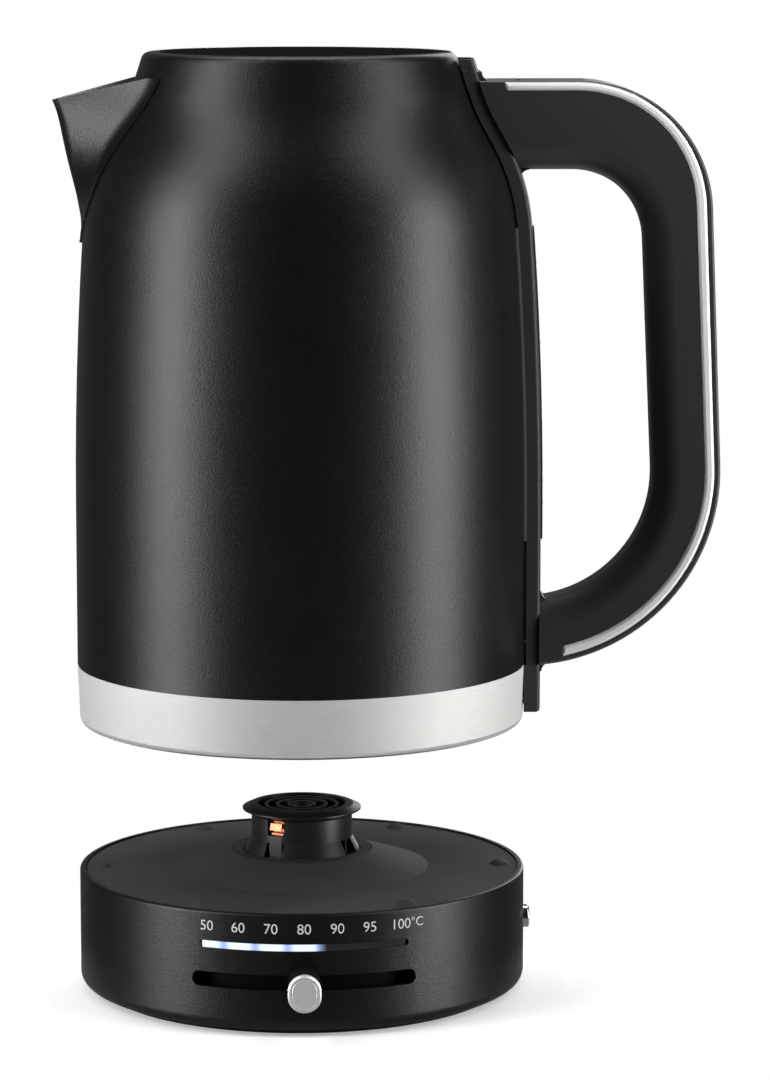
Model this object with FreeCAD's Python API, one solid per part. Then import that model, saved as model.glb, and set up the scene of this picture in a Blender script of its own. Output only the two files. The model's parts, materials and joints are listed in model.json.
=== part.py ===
import FreeCAD, Part
import math
import os

Vector = FreeCAD.Vector
UP = Vector(0, 0, 1)
AHEAD = Vector(0, 1, 0)
OUT = Vector(1, 0, 0)

# Frame: millimetres, +Z up, origin on the base's axis at table level.
# The spout points to -X, the handle to +X, the temperature slider faces -Y.
# Jug pieces are built with height 0 at the jug's underside and lifted when saved.

# Fits
GLUE_GAP = 0.1
PLAY = 0.35
PIN_PLAY = 0.04

# Power base shell
BASE_INSET = 0.1
BASE_WALL = 2.0
BASE_RIM_Z = 42.2
BASE_EDGE_ROUND = 4.0
BASE_RIM_ROUND = 0.8
FOOT_H = 2.0
FOOT_INSET = 3.0
FOOT_W = 7.0
PLATE_T = 2.4
DECK_T = 2.4
BOSS_R = 4.0
BOSS_INSET = 8.0
BASE_SCREW_R = 1.6
BASE_SCREW_HEAD_R = 3.2
BASE_SCREW_HEAD_H = 1.2
BASE_SCREW_LENGTH = 14.0
BASE_SCREWS = 4

# Rubber pad with its raised cone and seat bumps
PAD_T = 2.1
PAD_BELOW_RIM = 0.5
CONE_LAND = 4.5
CONE_RUN = 19.5
CONE_RISE = 6.3
BUMP_R = 3.4
BUMP_H = 1.5
BUMP_INSET = 6.0
BUMPS = 6

# Round cordless connector
SKIRT_R = 20.0
SKIRT_RISE = 4.5
NECK_STEP = 2.5
NECK_RISE = 8.0
CONNECTOR_WALL = 2.2
FLANGE_GRIP = 3.0
FLANGE_T = 2.4
CAP_OVERHANG = 0.6
CAP_FLARE = 1.6
CAP_EDGE = 0.5
CAP_SLOPE_H = 1.5
CAP_BELLY = 0.45
CAP_RIM_W = 5.3
WELL_DEPTH = 3.2
RIDGE_W = 1.1
RIDGE_RADII = (12.4, 8.5, 4.5)
RIDGE_DROP = 0.5
PIN_HOLE_R = 2.1
POCKET_ANGLE = 238.0
POCKET_HALF_W = 3.3
POCKET_H = 5.4
POCKET_DEPTH = 3.0
CONTACT_W = 4.5
CONTACT_T = 0.6
CONTACT_H = 2.4
CONTACT_LEAN = 14.0
CONTACT_SHIFT = 0.8
POST_HALF_W = 2.5
FIN_ANGLE = 330.0
FIN_HALF_W = 0.6
NOTCH_HALF_W = 3.4
NOTCH_DEPTH = 2.2

# Temperature scale: light bar, slot and slider on the front wall
FRONT = 270.0
BAR_DROP = 11.2
BAR_H = 2.2
BAR_HALF_ANGLE = 26.0
GUIDE_T = 3.4
LED_ANGLE_STEP = 8.1
LEDS = 7
LED_W = 3.0
LED_H = 2.6
LED_T = 1.4
LED_BOARD_T = 1.0
LED_BOARD_H = 7.4
SLOT_DROP = 23.2
SLOT_H = 5.2
SLOT_HALF_ANGLE = 27.0
TRACK_WALL = 1.0
TRACK_END_ANGLE = 2.0
TRACK_DEPTH = 4.6
CARRIAGE_H = 11.0
CARRIAGE_T = 2.6
CARRIAGE_HALF_ANGLE = 5.0
KNOB_W = 11.6
KNOB_H = 12.7
KNOB_REACH = 15.0
KNOB_STEM_INSET = 0.4
KNOB_NECK_W = 5.0
CAP_PLATE_T = 2.0
CAP_PLATE_BEVEL = 0.9

# Start button on the right-hand side wall
BUTTON_DROP = 19.2
BUTTON_R = 4.0
BUTTON_PROUD = 2.1
BUTTON_TRAVEL = 1.5
BUTTON_LIP = 1.2
BUTTON_LIP_T = 1.4
SWITCH_W = 12.0
SWITCH_T = 8.0
PLUNGER_R = 1.2

# Electronics and cord inlet in the base
BOARD_ROOM = 3.9
BOARD_Y = 44.0
BOARD_T = 1.6
BOARD_CENTRE_Y = 20.0
BOARD_POST_H = 6.0
BOARD_POST_R = 2.6
RELAY_X = -20.0
RELAY_W = 16.0
RELAY_H = 15.0
TRANSFORMER_W = 18.0
TRANSFORMER_H = 13.0
CAPACITOR_X = 20.0
CAPACITOR_R = 5.0
CAPACITOR_H = 12.0
TERMINAL_W = 6.0
TERMINAL_STEP = 9.0
TERMINAL_H = 9.0
TERMINALS = 3
GLAND_Z = 14.0
GLAND_R = 6.4
GLAND_LIP = 1.6
GLAND_LIP_T = 1.8
CORD_BORE_R = 3.6
GLAND_INSIDE = 6.0

# Jug seat
LIFT_SHOWN = 50.8

# Jug side, from the steel band up over the shoulder to the rim
BODY_R = 77.4
BODY_WALL = 1.0
BAND_TOP = 20.4
SHOULDER_DROP = 156.0
SWEEP_R = 1375.0
SWEEP_LEAN = 4.0
SHOULDER_RUN = 1.0
SHOULDER_R = 66.0
NECK_LEAN = 29.0
NECK_RUN = 6.8
NECK_BEND_R = 60.0
RIM_LEAN = 18.0
RIM_Z = 230.0
RIM_ROUND = 3.0
NECK_SEAM_DROP = 62.0
RIM_LAND = 2.5

# Steel band and bottom cover
BAND_T = 1.2
BAND_TAPER = 0.8
BAND_ROUND = 2.0
BAND_LIFT = 0.1
COVER_T = 2.4
COVER_WALL = 2.0
COVER_WALL_TOP = 24.0
COVER_SCREWS = 3
COVER_SCREW_R = 1.5
COVER_SCREW_INSET = 13.0
COVER_SCREW_FIRST = 30.0
COVER_SCREW_HEAD_R = 2.8
COVER_SCREW_HEAD_H = 1.4
COVER_SCREW_LENGTH = 24.0
STUD_LOW = 18.0
STUD_R = 3.2
SEAT_ROOM = 0.8

# Heating and the jug's half of the connector
SOCKET_WALL = 2.0
SOCKET_ROOM = 0.6
SOCKET_ROOF = 2.0
RING_T = 0.8
RING_REACH = 2.6
CONTACT_PIN_R = 1.5
CONTACT_PIN_REACH = 5.0
CONTROL_ROOM = 0.5
CONTROL_H = 8.0
CONTROL_POST_R = 3.0
PLATE_Z = 41.0
HEATER_PLATE_T = 0.8
HEATER_SKIRT = 9.0
SPREADER_ROOM = 2.8
SPREADER_T = 3.0
ELEMENT_INSET = 13.0
ELEMENT_TUBE_R = 3.3
ELEMENT_SWEEP = 310.0
ELEMENT_PIN_R = 1.6
ELEMENT_PIN = 9.0
BIMETAL_R = 6.0
BIMETAL_T = 0.9
BIMETAL_ROOM = 1.2
BIMETAL_ANGLES = (60.0, 120.0)
PROBE_R = 2.5
PROBE_ABOVE = 7.0
PROBE_BELOW = 9.0
PROBE_ANGLE = 200.0
PROBE_SEAL_R = 5.0
PROBE_SEAL_T = 1.4

# Spout, level by level from its toe to its lip: drop below the rim, reach beyond the jug's side,
# half width at the seam, radius of the nose and of the hollow root where a flank runs out on the wall
SPOUT_TOE_DROP = 64.5
SPOUT_TOE_REACH = -2.0
SPOUT_TOE_HALF_W = 4.4
SPOUT_TOE_NOSE = 2.2
SPOUT_TOE_ROOT = 1.2
SPOUT_HEEL_DROP = 56.0
SPOUT_HEEL_REACH = -2.6
SPOUT_HEEL_HALF_W = 12.0
SPOUT_HEEL_NOSE = 5.0
SPOUT_HEEL_ROOT = 6.0
SPOUT_BELLY_DROP = 40.0
SPOUT_BELLY_REACH = 0.8
SPOUT_BELLY_HALF_W = 21.0
SPOUT_BELLY_NOSE = 8.0
SPOUT_BELLY_ROOT = 13.0
SPOUT_THROAT_DROP = 24.6
SPOUT_THROAT_REACH = 4.1
SPOUT_THROAT_HALF_W = 25.2
SPOUT_THROAT_NOSE = 8.0
SPOUT_THROAT_ROOT = 14.0
SPOUT_EDGE_DROP = 19.5
SPOUT_EDGE_REACH = 5.4
SPOUT_EDGE_HALF_W = 27.4
SPOUT_EDGE_NOSE = 7.0
SPOUT_EDGE_ROOT = 14.0
SPOUT_LIP_DROP = 8.0
SPOUT_LIP_REACH = 13.2
SPOUT_LIP_HALF_W = 31.0
SPOUT_LIP_NOSE = 6.0
SPOUT_LIP_ROOT = 12.0
SPOUT_WALL = 1.0
SPOUT_FLOOR = 4.0
SPOUT_INSIDE = 8.0
SPOUT_TOP_SLOPE = 14.1
SPOUT_TOP_DROP = 15.9
SPOUT_FLANGE = 1.8
SPOUT_FLANGE_T = 0.5
WINDOW_INSET = 3.2
WINDOW_BELOW_RIM = 18.0

# Spout filter inside the jug
FILTER_W = 32.0
FILTER_H = 36.0
FILTER_T = 1.8
FILTER_LEAN = 20.0
FILTER_WALL_ROOM = 2.4
FILTER_BORDER = 3.0
MESH_T = 0.4
MESH_COLUMNS = 11
MESH_ROWS = 12
MESH_WEB = 0.8

# Collar in the neck and the hinged lid
COLLAR_H = 15.0
COLLAR_STEP = 1.3
LID_GAP = 0.9
LID_EDGE_T = 0.8
LID_PLATE_T = 2.6
LID_CROWN = 0.8
LINER_GAP = 2.2
LINER_DEPTH = 16.0
LINER_WALL = 1.8
SEAL_H = 2.4
SEAL_DROP = 13.0
LID_SCREWS = 3
LID_SCREW_R = 1.3
LID_SCREW_INSET = 11.4
LID_SCREW_FIRST = 60.0
HINGE_DROP = 6.0
HINGE_OUTSIDE = 1.2
HINGE_PIN_R = 1.2
PIN_END_ROOM = 0.5
KNUCKLE_R = 2.5
KNUCKLE_HALF_W = 3.6
ARM_T = 4.4
NOTCH_FLOOR_DROP = 13.2
LOBE_REACH = 6.4
LOBE_T = 2.4
LOBE_ANGLE = 60.0
SPRING_COIL_R = 1.85
SPRING_WIRE_R = 0.25
SPRING_TURNS = 4
SPRING_PITCH = 0.6

# Handle strip up the back of the jug, with the water gauge
STRIP_T = 5.3
STRIP_HALF_W = 12.0
STRIP_BOTTOM = 3.8
STRIP_TOP_DROP = 2.4
STRIP_EDGE_ROUND = 1.2
STRIP_FOOT_ROUND = 2.2
HINGE_COVER_T = 1.5
HINGE_COVER_H = 15.0
GAUGE_LOW = 63.5
GAUGE_TOP_DROP = 59.2
GAUGE_HALF_W = 8.0
GAUGE_PROUD = 0.6
GAUGE_PLATE_T = 2.0
GAUGE_BOSS_HALF_W = 5.2
GAUGE_SLOT_HALF_W = 3.5
GAUGE_MARGIN = 4.0
GAUGE_SEAL_T = 0.8

# Handle loop: circles that its sides run round, x from the jug's side, upper ones below the rim,
# lower ones above the foot
GRIP_HALF_W = 13.0
OUTER_TOP_X = 17.9
OUTER_TOP_DROP = 54.4
OUTER_TOP_R = 44.8
OUTER_FOOT_X = -0.6
OUTER_FOOT_Z = 86.9
OUTER_FOOT_R = 66.8
INNER_TOP_X = 15.2
INNER_TOP_DROP = 64.5
INNER_TOP_R = 24.7
INNER_FOOT_X = -0.3
INNER_FOOT_Z = 85.7
INNER_FOOT_R = 43.7
GRIP_ROUND = 9.0
GRIP_WEB_R = 3.0
GRIP_WEB_SHARE = 0.7
COVER_TOP_T = 0.3
COVER_SIDE_T = 1.9
COVER_LOW_T = 1.85
COVER_ROUND = 1.0
TRIM_TOP_W = 3.0
TRIM_SIDE_W = 4.1
TRIM_LOW_W = 3.8
TRIM_END_ROUND = 1.6
TRIM_WEB = 1.0
TRIM_WALL = 1.4
TRIM_PROUD = 0.15
TRIM_BEVEL = 0.6
TRIM_START_OUT = -8.4
TRIM_END_OUT = 12.1
HANDLE_SCREW_R = 2.0
HANDLE_SCREW_HEAD_R = 3.6
HANDLE_SCREW_HEAD_H = 1.6
HANDLE_SCREW_LENGTH = 19.0
SCREW_HEAD_GAP = 0.5
UPPER_SCREW_DROP = 27.0
LOWER_SCREW_Z = 28.2

# Lid release in the top of the handle
RELEASE_OUT = 7.6
RELEASE_LENGTH = 22.0
RELEASE_HALF_W = 7.0
RELEASE_T = 4.0
RELEASE_LEG_R = 2.0
RELEASE_LEG = 8.0
LATCH_HALF_W = 3.0
LATCH_H = 3.0
LATCH_NOSE_DROP = 4.5
LATCH_DROP = 10.0
LATCH_TRAVEL = 2.0
LATCH_NOSE_GAP = 1.2
LATCH_LINK_REACH = 11.6
RELEASE_WELL = 15.0
LEAF_T = 0.5
LEAF_HALF_W = 3.0

# Heights and radii that follow
BASE_R = BODY_R - BASE_INSET
PLATE_TOP = FOOT_H + PLATE_T
BASE_INNER_R = BASE_R - BASE_WALL
PLATE_R = BASE_R - BASE_EDGE_ROUND - PLAY
FOOT_R_OUT = PLATE_R - FOOT_INSET
FOOT_R_IN = FOOT_R_OUT - FOOT_W
BOSS_PITCH_R = FOOT_R_IN - BOSS_INSET
BOARD_X = 2 * (BOSS_PITCH_R * math.sqrt(0.5) - BOSS_R - BOARD_ROOM)
BAR_Z = BASE_RIM_Z - BAR_DROP
SLOT_Z = BASE_RIM_Z - SLOT_DROP
BUTTON_Z = BASE_RIM_Z - BUTTON_DROP
CONE_TOP_R = SKIRT_R + CONE_LAND
CONE_FOOT_R = CONE_TOP_R + CONE_RUN
NECK_R = SKIRT_R - NECK_STEP
CAP_R = SKIRT_R + CAP_OVERHANG
WELL_R = CAP_R - CAP_RIM_W
PAD_Z = BASE_RIM_Z - PAD_BELOW_RIM
DECK_Z = PAD_Z - PAD_T
PAD_R = BASE_INNER_R - PLAY
BUMP_PITCH_R = PAD_R - BUMP_INSET
CONE_TOP_Z = PAD_Z + CONE_RISE
SEAT_Z = PAD_Z + BUMP_H
JUG_Z = SEAT_Z + LIFT_SHOWN
SKIRT_TOP_Z = CONE_TOP_Z + SKIRT_RISE
NECK_TOP_Z = SKIRT_TOP_Z + NECK_RISE
CAP_TOP_Z = NECK_TOP_Z + CAP_FLARE + CAP_EDGE + CAP_SLOPE_H
TRACK_BACK_R = BASE_INNER_R - TRACK_DEPTH
CARRIAGE_R = BASE_INNER_R - PLAY
KNOB_BACK_R = BASE_R + 2 * PLAY
KNOB_FACE_R = BASE_R + KNOB_REACH
BODY_IN_R = BODY_R - BODY_WALL
SHOULDER_Z = RIM_Z - SHOULDER_DROP
NECK_SEAM_Z = RIM_Z - NECK_SEAM_DROP
BAND_FOOT_R = BODY_R - BAND_TAPER - BAND_ROUND - GLUE_GAP
COVER_SCREW_PITCH_R = BAND_FOOT_R - COVER_SCREW_INSET
SPREADER_R = COVER_SCREW_PITCH_R - STUD_R - SPREADER_ROOM
ELEMENT_R = SPREADER_R - ELEMENT_INSET
BIMETAL_PITCH_R = ELEMENT_R - ELEMENT_TUBE_R - BIMETAL_R - BIMETAL_ROOM
CONTROL_R = BIMETAL_PITCH_R - BIMETAL_R - CONTROL_ROOM
RECESS_Z = CONE_TOP_Z - SEAT_Z + SEAT_ROOM
SOCKET_R = CAP_R + SOCKET_ROOM
SOCKET_ROOF_Z = CAP_TOP_Z - SEAT_Z + 2 * SEAT_ROOM
SPREADER_Z = PLATE_Z - HEATER_PLATE_T - SPREADER_T
ELEMENT_Z = SPREADER_Z - ELEMENT_TUBE_R
CONTROL_Z = SOCKET_ROOF_Z + SOCKET_ROOF
HINGE_Z = RIM_Z - HINGE_DROP
STRIP_TOP = RIM_Z - STRIP_TOP_DROP
LID_LOW_Z = RIM_Z - LID_PLATE_T
GAUGE_HIGH = RIM_Z - GAUGE_TOP_DROP
UPPER_SCREW_Z = RIM_Z - UPPER_SCREW_DROP
NOTCH_HALF = KNUCKLE_HALF_W + SPRING_PITCH * SPRING_TURNS + 2 * SPRING_WIRE_R + 2 * PLAY
GRIP_OUTER_UPPER = (BODY_R + OUTER_TOP_X, RIM_Z - OUTER_TOP_DROP, OUTER_TOP_R)
GRIP_OUTER_LOWER = (BODY_R + OUTER_FOOT_X, OUTER_FOOT_Z, OUTER_FOOT_R)
GRIP_INNER_UPPER = (BODY_R + INNER_TOP_X, RIM_Z - INNER_TOP_DROP, INNER_TOP_R)
GRIP_INNER_LOWER = (BODY_R + INNER_FOOT_X, INNER_FOOT_Z, INNER_FOOT_R)
GRIP_TOP_Z = GRIP_OUTER_UPPER[1] + GRIP_OUTER_UPPER[2]
TRIM_START_X = BODY_R + TRIM_START_OUT
TRIM_END_X = BODY_R + TRIM_END_OUT
RELEASE_X = BODY_R + RELEASE_OUT
LATCH_Z = GRIP_TOP_Z - LATCH_DROP
LATCH_NOSE_Z = GRIP_TOP_Z - LATCH_NOSE_DROP


def disc(radius, low, high):
    """A round plate or post on the kettle's axis."""
    return Part.makeCylinder(radius, high - low, Vector(0, 0, low))


def tube(inner, outer, low, high):
    """A ring on the kettle's axis."""
    return disc(outer, low, high).cut(disc(inner, low, high))


def turned(corners):
    """A solid turned about the kettle's axis from (radius, height) corners."""
    points = [Vector(radius, 0, height) for radius, height in corners]
    return Part.Face(Part.makePolygon(points + points[:1])).revolve(Vector(), UP, 360)


def curved_bar(inner, outer, low, high, middle, half_angle):
    """Part of a ring, centred on an angle in degrees from +X."""
    points = [Vector(inner, 0, low), Vector(outer, 0, low), Vector(outer, 0, high), Vector(inner, 0, high)]
    face = Part.Face(Part.makePolygon(points + points[:1]))
    face.rotate(Vector(), UP, middle - half_angle)
    return face.revolve(Vector(), UP, 2 * half_angle)


def block(x, y, z):
    """A box between low and high values on each axis."""
    return Part.makeBox(x[1] - x[0], y[1] - y[0], z[1] - z[0], Vector(x[0], y[0], z[0]))


def around(radius, angle, height=0.0):
    """A point at a radius and an angle in degrees about the kettle's axis."""
    turn = math.radians(angle)
    return Vector(radius * math.cos(turn), radius * math.sin(turn), height)


def turned_to(shape, angle):
    """A copy of a shape turned about the kettle's axis."""
    copy = shape.copy()
    copy.rotate(Vector(), UP, angle)
    return copy


def spread(count, first=0.0):
    """Equal angles for a number of like pieces round the axis."""
    return [first + 360.0 * k / count for k in range(count)]


def stadium(width, height, low_y, high_y, z):
    """An upright stadium, rounded at top and bottom, that runs along Y."""
    radius = width / 2
    reach = height / 2 - radius
    bar = block((-radius, radius), (low_y, high_y), (z - reach, z + reach))
    for side in (-1, 1):
        end = Part.makeCylinder(radius, high_y - low_y, Vector(0, low_y, z + side * reach), AHEAD)
        bar = bar.fuse(end)
    return bar.removeSplitter()


# Jug side

def climb(radius, height, steps):
    """Edges that start upright at a point: (length,) runs on, (radius, lean) bends to a new lean."""
    edges = []
    lean = 0.0
    at = Vector(radius, 0, height)
    for step in steps:
        if len(step) == 1:
            end = at + Vector(-math.sin(lean), 0, math.cos(lean)) * step[0]
            edges.append(Part.makeLine(at, end))
        else:
            new_lean = math.radians(step[1])
            reach = step[0] if new_lean > lean else -step[0]
            centre = at - Vector(math.cos(lean), 0, math.sin(lean)) * reach
            middle = (lean + new_lean) / 2
            through = centre + Vector(math.cos(middle), 0, math.sin(middle)) * reach
            end = centre + Vector(math.cos(new_lean), 0, math.sin(new_lean)) * reach
            edges.append(Part.Arc(at, through, end).toShape())
            lean = new_lean
        at = end
    return edges, at


def shoulder_steps(grow, low):
    """The side's runs and bends from a low height to the last bend, grown outwards."""
    return [
        (SHOULDER_Z - low,),
        (SWEEP_R + grow, SWEEP_LEAN),
        (SHOULDER_RUN,),
        (SHOULDER_R + grow, NECK_LEAN),
        (NECK_RUN,),
        (NECK_BEND_R - grow, RIM_LEAN),
    ]


def neck_run():
    """The last straight run, so that the rolled rim tops out at the rim's height."""
    bend_top = climb(BODY_R, BAND_TOP, shoulder_steps(0, BAND_TOP))[1].z
    lean = math.radians(RIM_LEAN)
    roll = RIM_ROUND * (1 - math.sin(lean))
    return (RIM_Z - roll - bend_top) / math.cos(lean)


def side_solid(grow):
    """The jug's side grown outwards and filled, past its underside and past its rim."""
    past = BAND_TOP
    edges, end = climb(BODY_R + grow, -past, shoulder_steps(grow, -past) + [(neck_run() + past,)])
    points = [end, Vector(0, 0, end.z), Vector(0, 0, -past), Vector(BODY_R + grow, 0, -past)]
    edges += [Part.makeLine(a, b) for a, b in zip(points, points[1:])]
    return Part.Face(Part.Wire(Part.__sortEdges__(edges))).revolve(Vector(), UP, 360)


def side_radius(height):
    """The jug's outer radius at a height, measured on its side."""
    ray = Part.makeLine(Vector(0, 0, height), Vector(2 * BODY_R, 0, height))
    edges = climb(BODY_R, -BAND_TOP, shoulder_steps(0, -BAND_TOP) + [(neck_run() + BAND_TOP,)])[0]
    return Part.Wire(edges).distToShape(ray)[1][0][0].x


SIDE = side_solid(0)
STRIP_FORM = side_solid(STRIP_T)
HINGE_X = side_radius(HINGE_Z) + HINGE_OUTSIDE
LATCH_LINK_X = HINGE_X + LATCH_LINK_REACH
FULL_TURN_IN = 90.0
RIM_STEPS = [(neck_run(),), (RIM_ROUND, FULL_TURN_IN), (RIM_LAND,)]
MOUTH_R = climb(BODY_R, BAND_TOP, shoulder_steps(0, BAND_TOP) + RIM_STEPS)[1].x
COLLAR_R = MOUTH_R - COLLAR_STEP
LINER_R = COLLAR_R - LINER_GAP
LID_SCREW_PITCH_R = LINER_R - LID_SCREW_INSET
SPOUT_LEVELS = [
    (SPOUT_TOE_DROP, SPOUT_TOE_REACH, SPOUT_TOE_HALF_W, SPOUT_TOE_NOSE, SPOUT_TOE_ROOT),
    (SPOUT_HEEL_DROP, SPOUT_HEEL_REACH, SPOUT_HEEL_HALF_W, SPOUT_HEEL_NOSE, SPOUT_HEEL_ROOT),
    (SPOUT_BELLY_DROP, SPOUT_BELLY_REACH, SPOUT_BELLY_HALF_W, SPOUT_BELLY_NOSE, SPOUT_BELLY_ROOT),
    (SPOUT_THROAT_DROP, SPOUT_THROAT_REACH, SPOUT_THROAT_HALF_W, SPOUT_THROAT_NOSE, SPOUT_THROAT_ROOT),
    (SPOUT_EDGE_DROP, SPOUT_EDGE_REACH, SPOUT_EDGE_HALF_W, SPOUT_EDGE_NOSE, SPOUT_EDGE_ROOT),
    (SPOUT_LIP_DROP, SPOUT_LIP_REACH, SPOUT_LIP_HALF_W, SPOUT_LIP_NOSE, SPOUT_LIP_ROOT),
]


# Spout

def spout_section(drop, reach, half_w, nose, root, inset):
    """One level of the spout: round nose, straight flanks, hollow roots and a flange along the wall."""
    z = RIM_Z - drop
    wall = side_radius(z) + SPOUT_FLANGE_T
    seam = math.pi - math.asin(half_w / wall)
    foot = seam + SPOUT_FLANGE / wall
    root_at = (wall + root) * Vector(math.cos(foot), math.sin(foot), 0)
    nose_at = Vector(nose - BODY_R - reach, 0, 0)
    apart = root_at - nose_at
    share = (nose + root) / apart.Length
    along = apart.normalize()
    square = share * along + math.sqrt(1 - share ** 2) * Vector(-along.y, along.x, 0)
    skin = wall - inset
    foot_in = skin * Vector(math.cos(foot), math.sin(foot), 0)
    root_end = root_at - square * (root + inset)
    middle = (foot_in + root_end) / 2 - root_at
    root_middle = root_at + middle.normalize() * (root + inset)
    flange_middle = skin * Vector(math.cos((seam + foot) / 2), math.sin((seam + foot) / 2), 0)
    flange_end = skin * Vector(math.cos(seam), math.sin(seam), 0)
    inside = flange_end * ((skin - SPOUT_INSIDE) / skin)
    nose_end = nose_at + square * (nose - inset)
    half = [inside, flange_end, flange_middle, foot_in, root_middle, root_end, nose_end]
    upper = [point + Vector(0, 0, z) for point in half]
    lower = [Vector(point.x, -point.y, point.z) for point in upper]
    tip = Vector(nose_at.x - nose + inset, 0, z)
    return Part.Wire([
        Part.makeLine(upper[0], upper[1]),
        Part.Arc(upper[1], upper[2], upper[3]).toShape(),
        Part.Arc(upper[3], upper[4], upper[5]).toShape(),
        Part.makeLine(upper[5], upper[6]),
        Part.Arc(upper[6], tip, lower[6]).toShape(),
        Part.makeLine(lower[6], lower[5]),
        Part.Arc(lower[5], lower[4], lower[3]).toShape(),
        Part.Arc(lower[3], lower[2], lower[1]).toShape(),
        Part.makeLine(lower[1], lower[0]),
        Part.makeLine(lower[0], upper[0]),
    ])


def spout_form(inset):
    """The filled spout, drawn in by an inset on all its skin."""
    return Part.makeLoft([spout_section(*level, inset) for level in SPOUT_LEVELS], True, False)


def above_spout():
    """Everything over the spout's sloping top edge."""
    size = 4 * BODY_R
    slab = Part.makeBox(size, size, size, Vector(-size / 2, -size / 2, 0))
    slab.rotate(Vector(), AHEAD, -SPOUT_TOP_SLOPE)
    slab.translate(Vector(-(BODY_R + SPOUT_EDGE_REACH), 0, RIM_Z - SPOUT_TOP_DROP))
    return slab


def spout_limits(low, high):
    """The front part of the jug between two heights."""
    return block((-2 * BODY_R, 0), (-BODY_R, BODY_R), (low, high))


def spout():
    """Pressed V spout, welded round its flange."""
    floor = RIM_Z - SPOUT_TOE_DROP + SPOUT_FLOOR
    channel = spout_form(SPOUT_WALL).common(spout_limits(floor, RIM_Z))
    return spout_form(0).cut(SIDE).cut(channel).cut(above_spout()).removeSplitter()


def spout_window():
    """The pouring opening that the jug's wall has behind the spout."""
    low = SPOUT_TOE_DROP - SPOUT_FLOOR - WINDOW_INSET
    corners = [(SPOUT_HEEL_HALF_W - WINDOW_INSET, RIM_Z - low)]
    for drop, _, half_w, _, _ in SPOUT_LEVELS[1:]:
        if WINDOW_BELOW_RIM < drop < low:
            corners.append((half_w - SPOUT_FLANGE - WINDOW_INSET, RIM_Z - drop))
    corners.append((corners[-1][0], RIM_Z - WINDOW_BELOW_RIM))
    points = [Vector(0, y, z) for y, z in corners] + [Vector(0, -y, z) for y, z in reversed(corners)]
    return Part.Face(Part.makePolygon(points + points[:1])).extrude(OUT * -2 * BODY_R)


# Jug body, neck and lid

def hinge_notch():
    """The slot through the rim for the lid's hinge arm and the spring beside it."""
    floor = RIM_Z - NOTCH_FLOOR_DROP
    x = (LINER_R - LINER_WALL, HINGE_X + KNUCKLE_R + PLAY)
    return block(x, (-NOTCH_HALF, NOTCH_HALF), (floor, RIM_Z + RIM_ROUND)).fuse(arm_way())


def arm_way():
    """The way of the lid's arm when it stands open, and of the lobe under its knuckle."""
    half = KNUCKLE_HALF_W + PLAY
    sweep = math.hypot(LOBE_REACH, LOBE_T / 2) + PLAY
    way = Part.makeCylinder(sweep, 2 * half, Vector(HINGE_X, -half, HINGE_Z), AHEAD)
    return way.fuse(block((0, 2 * BODY_R), (-half, half), (HINGE_Z, RIM_Z + RIM_ROUND)))


def handle_screw_spots():
    """Height and side offset of each screw that holds the handle."""
    return [(UPPER_SCREW_Z, 0.0), (LOWER_SCREW_Z, -GAUGE_BOSS_HALF_W), (LOWER_SCREW_Z, GAUGE_BOSS_HALF_W)]


def handle_screw_holes(radius):
    """Holes along X for the handle's screws."""
    length = 2 * HANDLE_SCREW_LENGTH
    bores = []
    for z, y in handle_screw_spots():
        start = Vector(side_radius(z) - length / 2, y, z)
        bores.append(Part.makeCylinder(radius, length, start, OUT))
    return Part.makeCompound(bores)


def jug_wall(low, high):
    """The pressed steel wall between two heights, with its rim rolled in and its openings cut."""
    inner_rim = [(neck_run(),), (RIM_ROUND - BODY_WALL, FULL_TURN_IN), (RIM_LAND,)]
    outer, outer_end = climb(BODY_R, BAND_TOP, shoulder_steps(0, BAND_TOP) + RIM_STEPS)
    inner, inner_end = climb(BODY_IN_R, BAND_TOP, shoulder_steps(-BODY_WALL, BAND_TOP) + inner_rim)
    foot = Part.makeLine(Vector(BODY_R, 0, BAND_TOP), Vector(BODY_IN_R, 0, BAND_TOP))
    lip = Part.makeLine(outer_end, inner_end)
    wall = Part.Face(Part.Wire(Part.__sortEdges__(outer + inner + [foot, lip])))
    wall = wall.revolve(Vector(), UP, 360).common(disc(2 * BODY_R, low, high))
    slot = block((0, 2 * BODY_R), (-GAUGE_SLOT_HALF_W, GAUGE_SLOT_HALF_W), gauge_span(GAUGE_MARGIN))
    wall = wall.cut(spout_window()).cut(hinge_notch()).cut(slot)
    return wall.cut(handle_screw_holes(HANDLE_SCREW_R)).removeSplitter()


def jug_body():
    """Slightly swept lower wall of the jug."""
    return jug_wall(BAND_TOP, NECK_SEAM_Z)


def jug_neck():
    """Drawn shoulder and neck, welded to the lower wall and ground flush."""
    return jug_wall(NECK_SEAM_Z, RIM_Z)


def collar_section():
    """The neck collar's filled outer form, close inside the jug's wall."""
    return side_solid(-BODY_WALL - GLUE_GAP)


def mouth_collar():
    """Moulded ring under the rolled rim: it carries the filter and the lid's seal seat."""
    top = RIM_Z - BODY_WALL
    ring = tube(COLLAR_R, BODY_R, top - COLLAR_H, top).common(collar_section())
    roll = RIM_ROUND - BODY_WALL
    room = tube(MOUTH_R + RIM_LAND - roll, BODY_R, top - 2 * roll, top)
    lid_room = disc(MOUTH_R, LID_LOW_Z - PLAY, top)
    return ring.cut(room).cut(lid_room).cut(hinge_notch()).removeSplitter()


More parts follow.
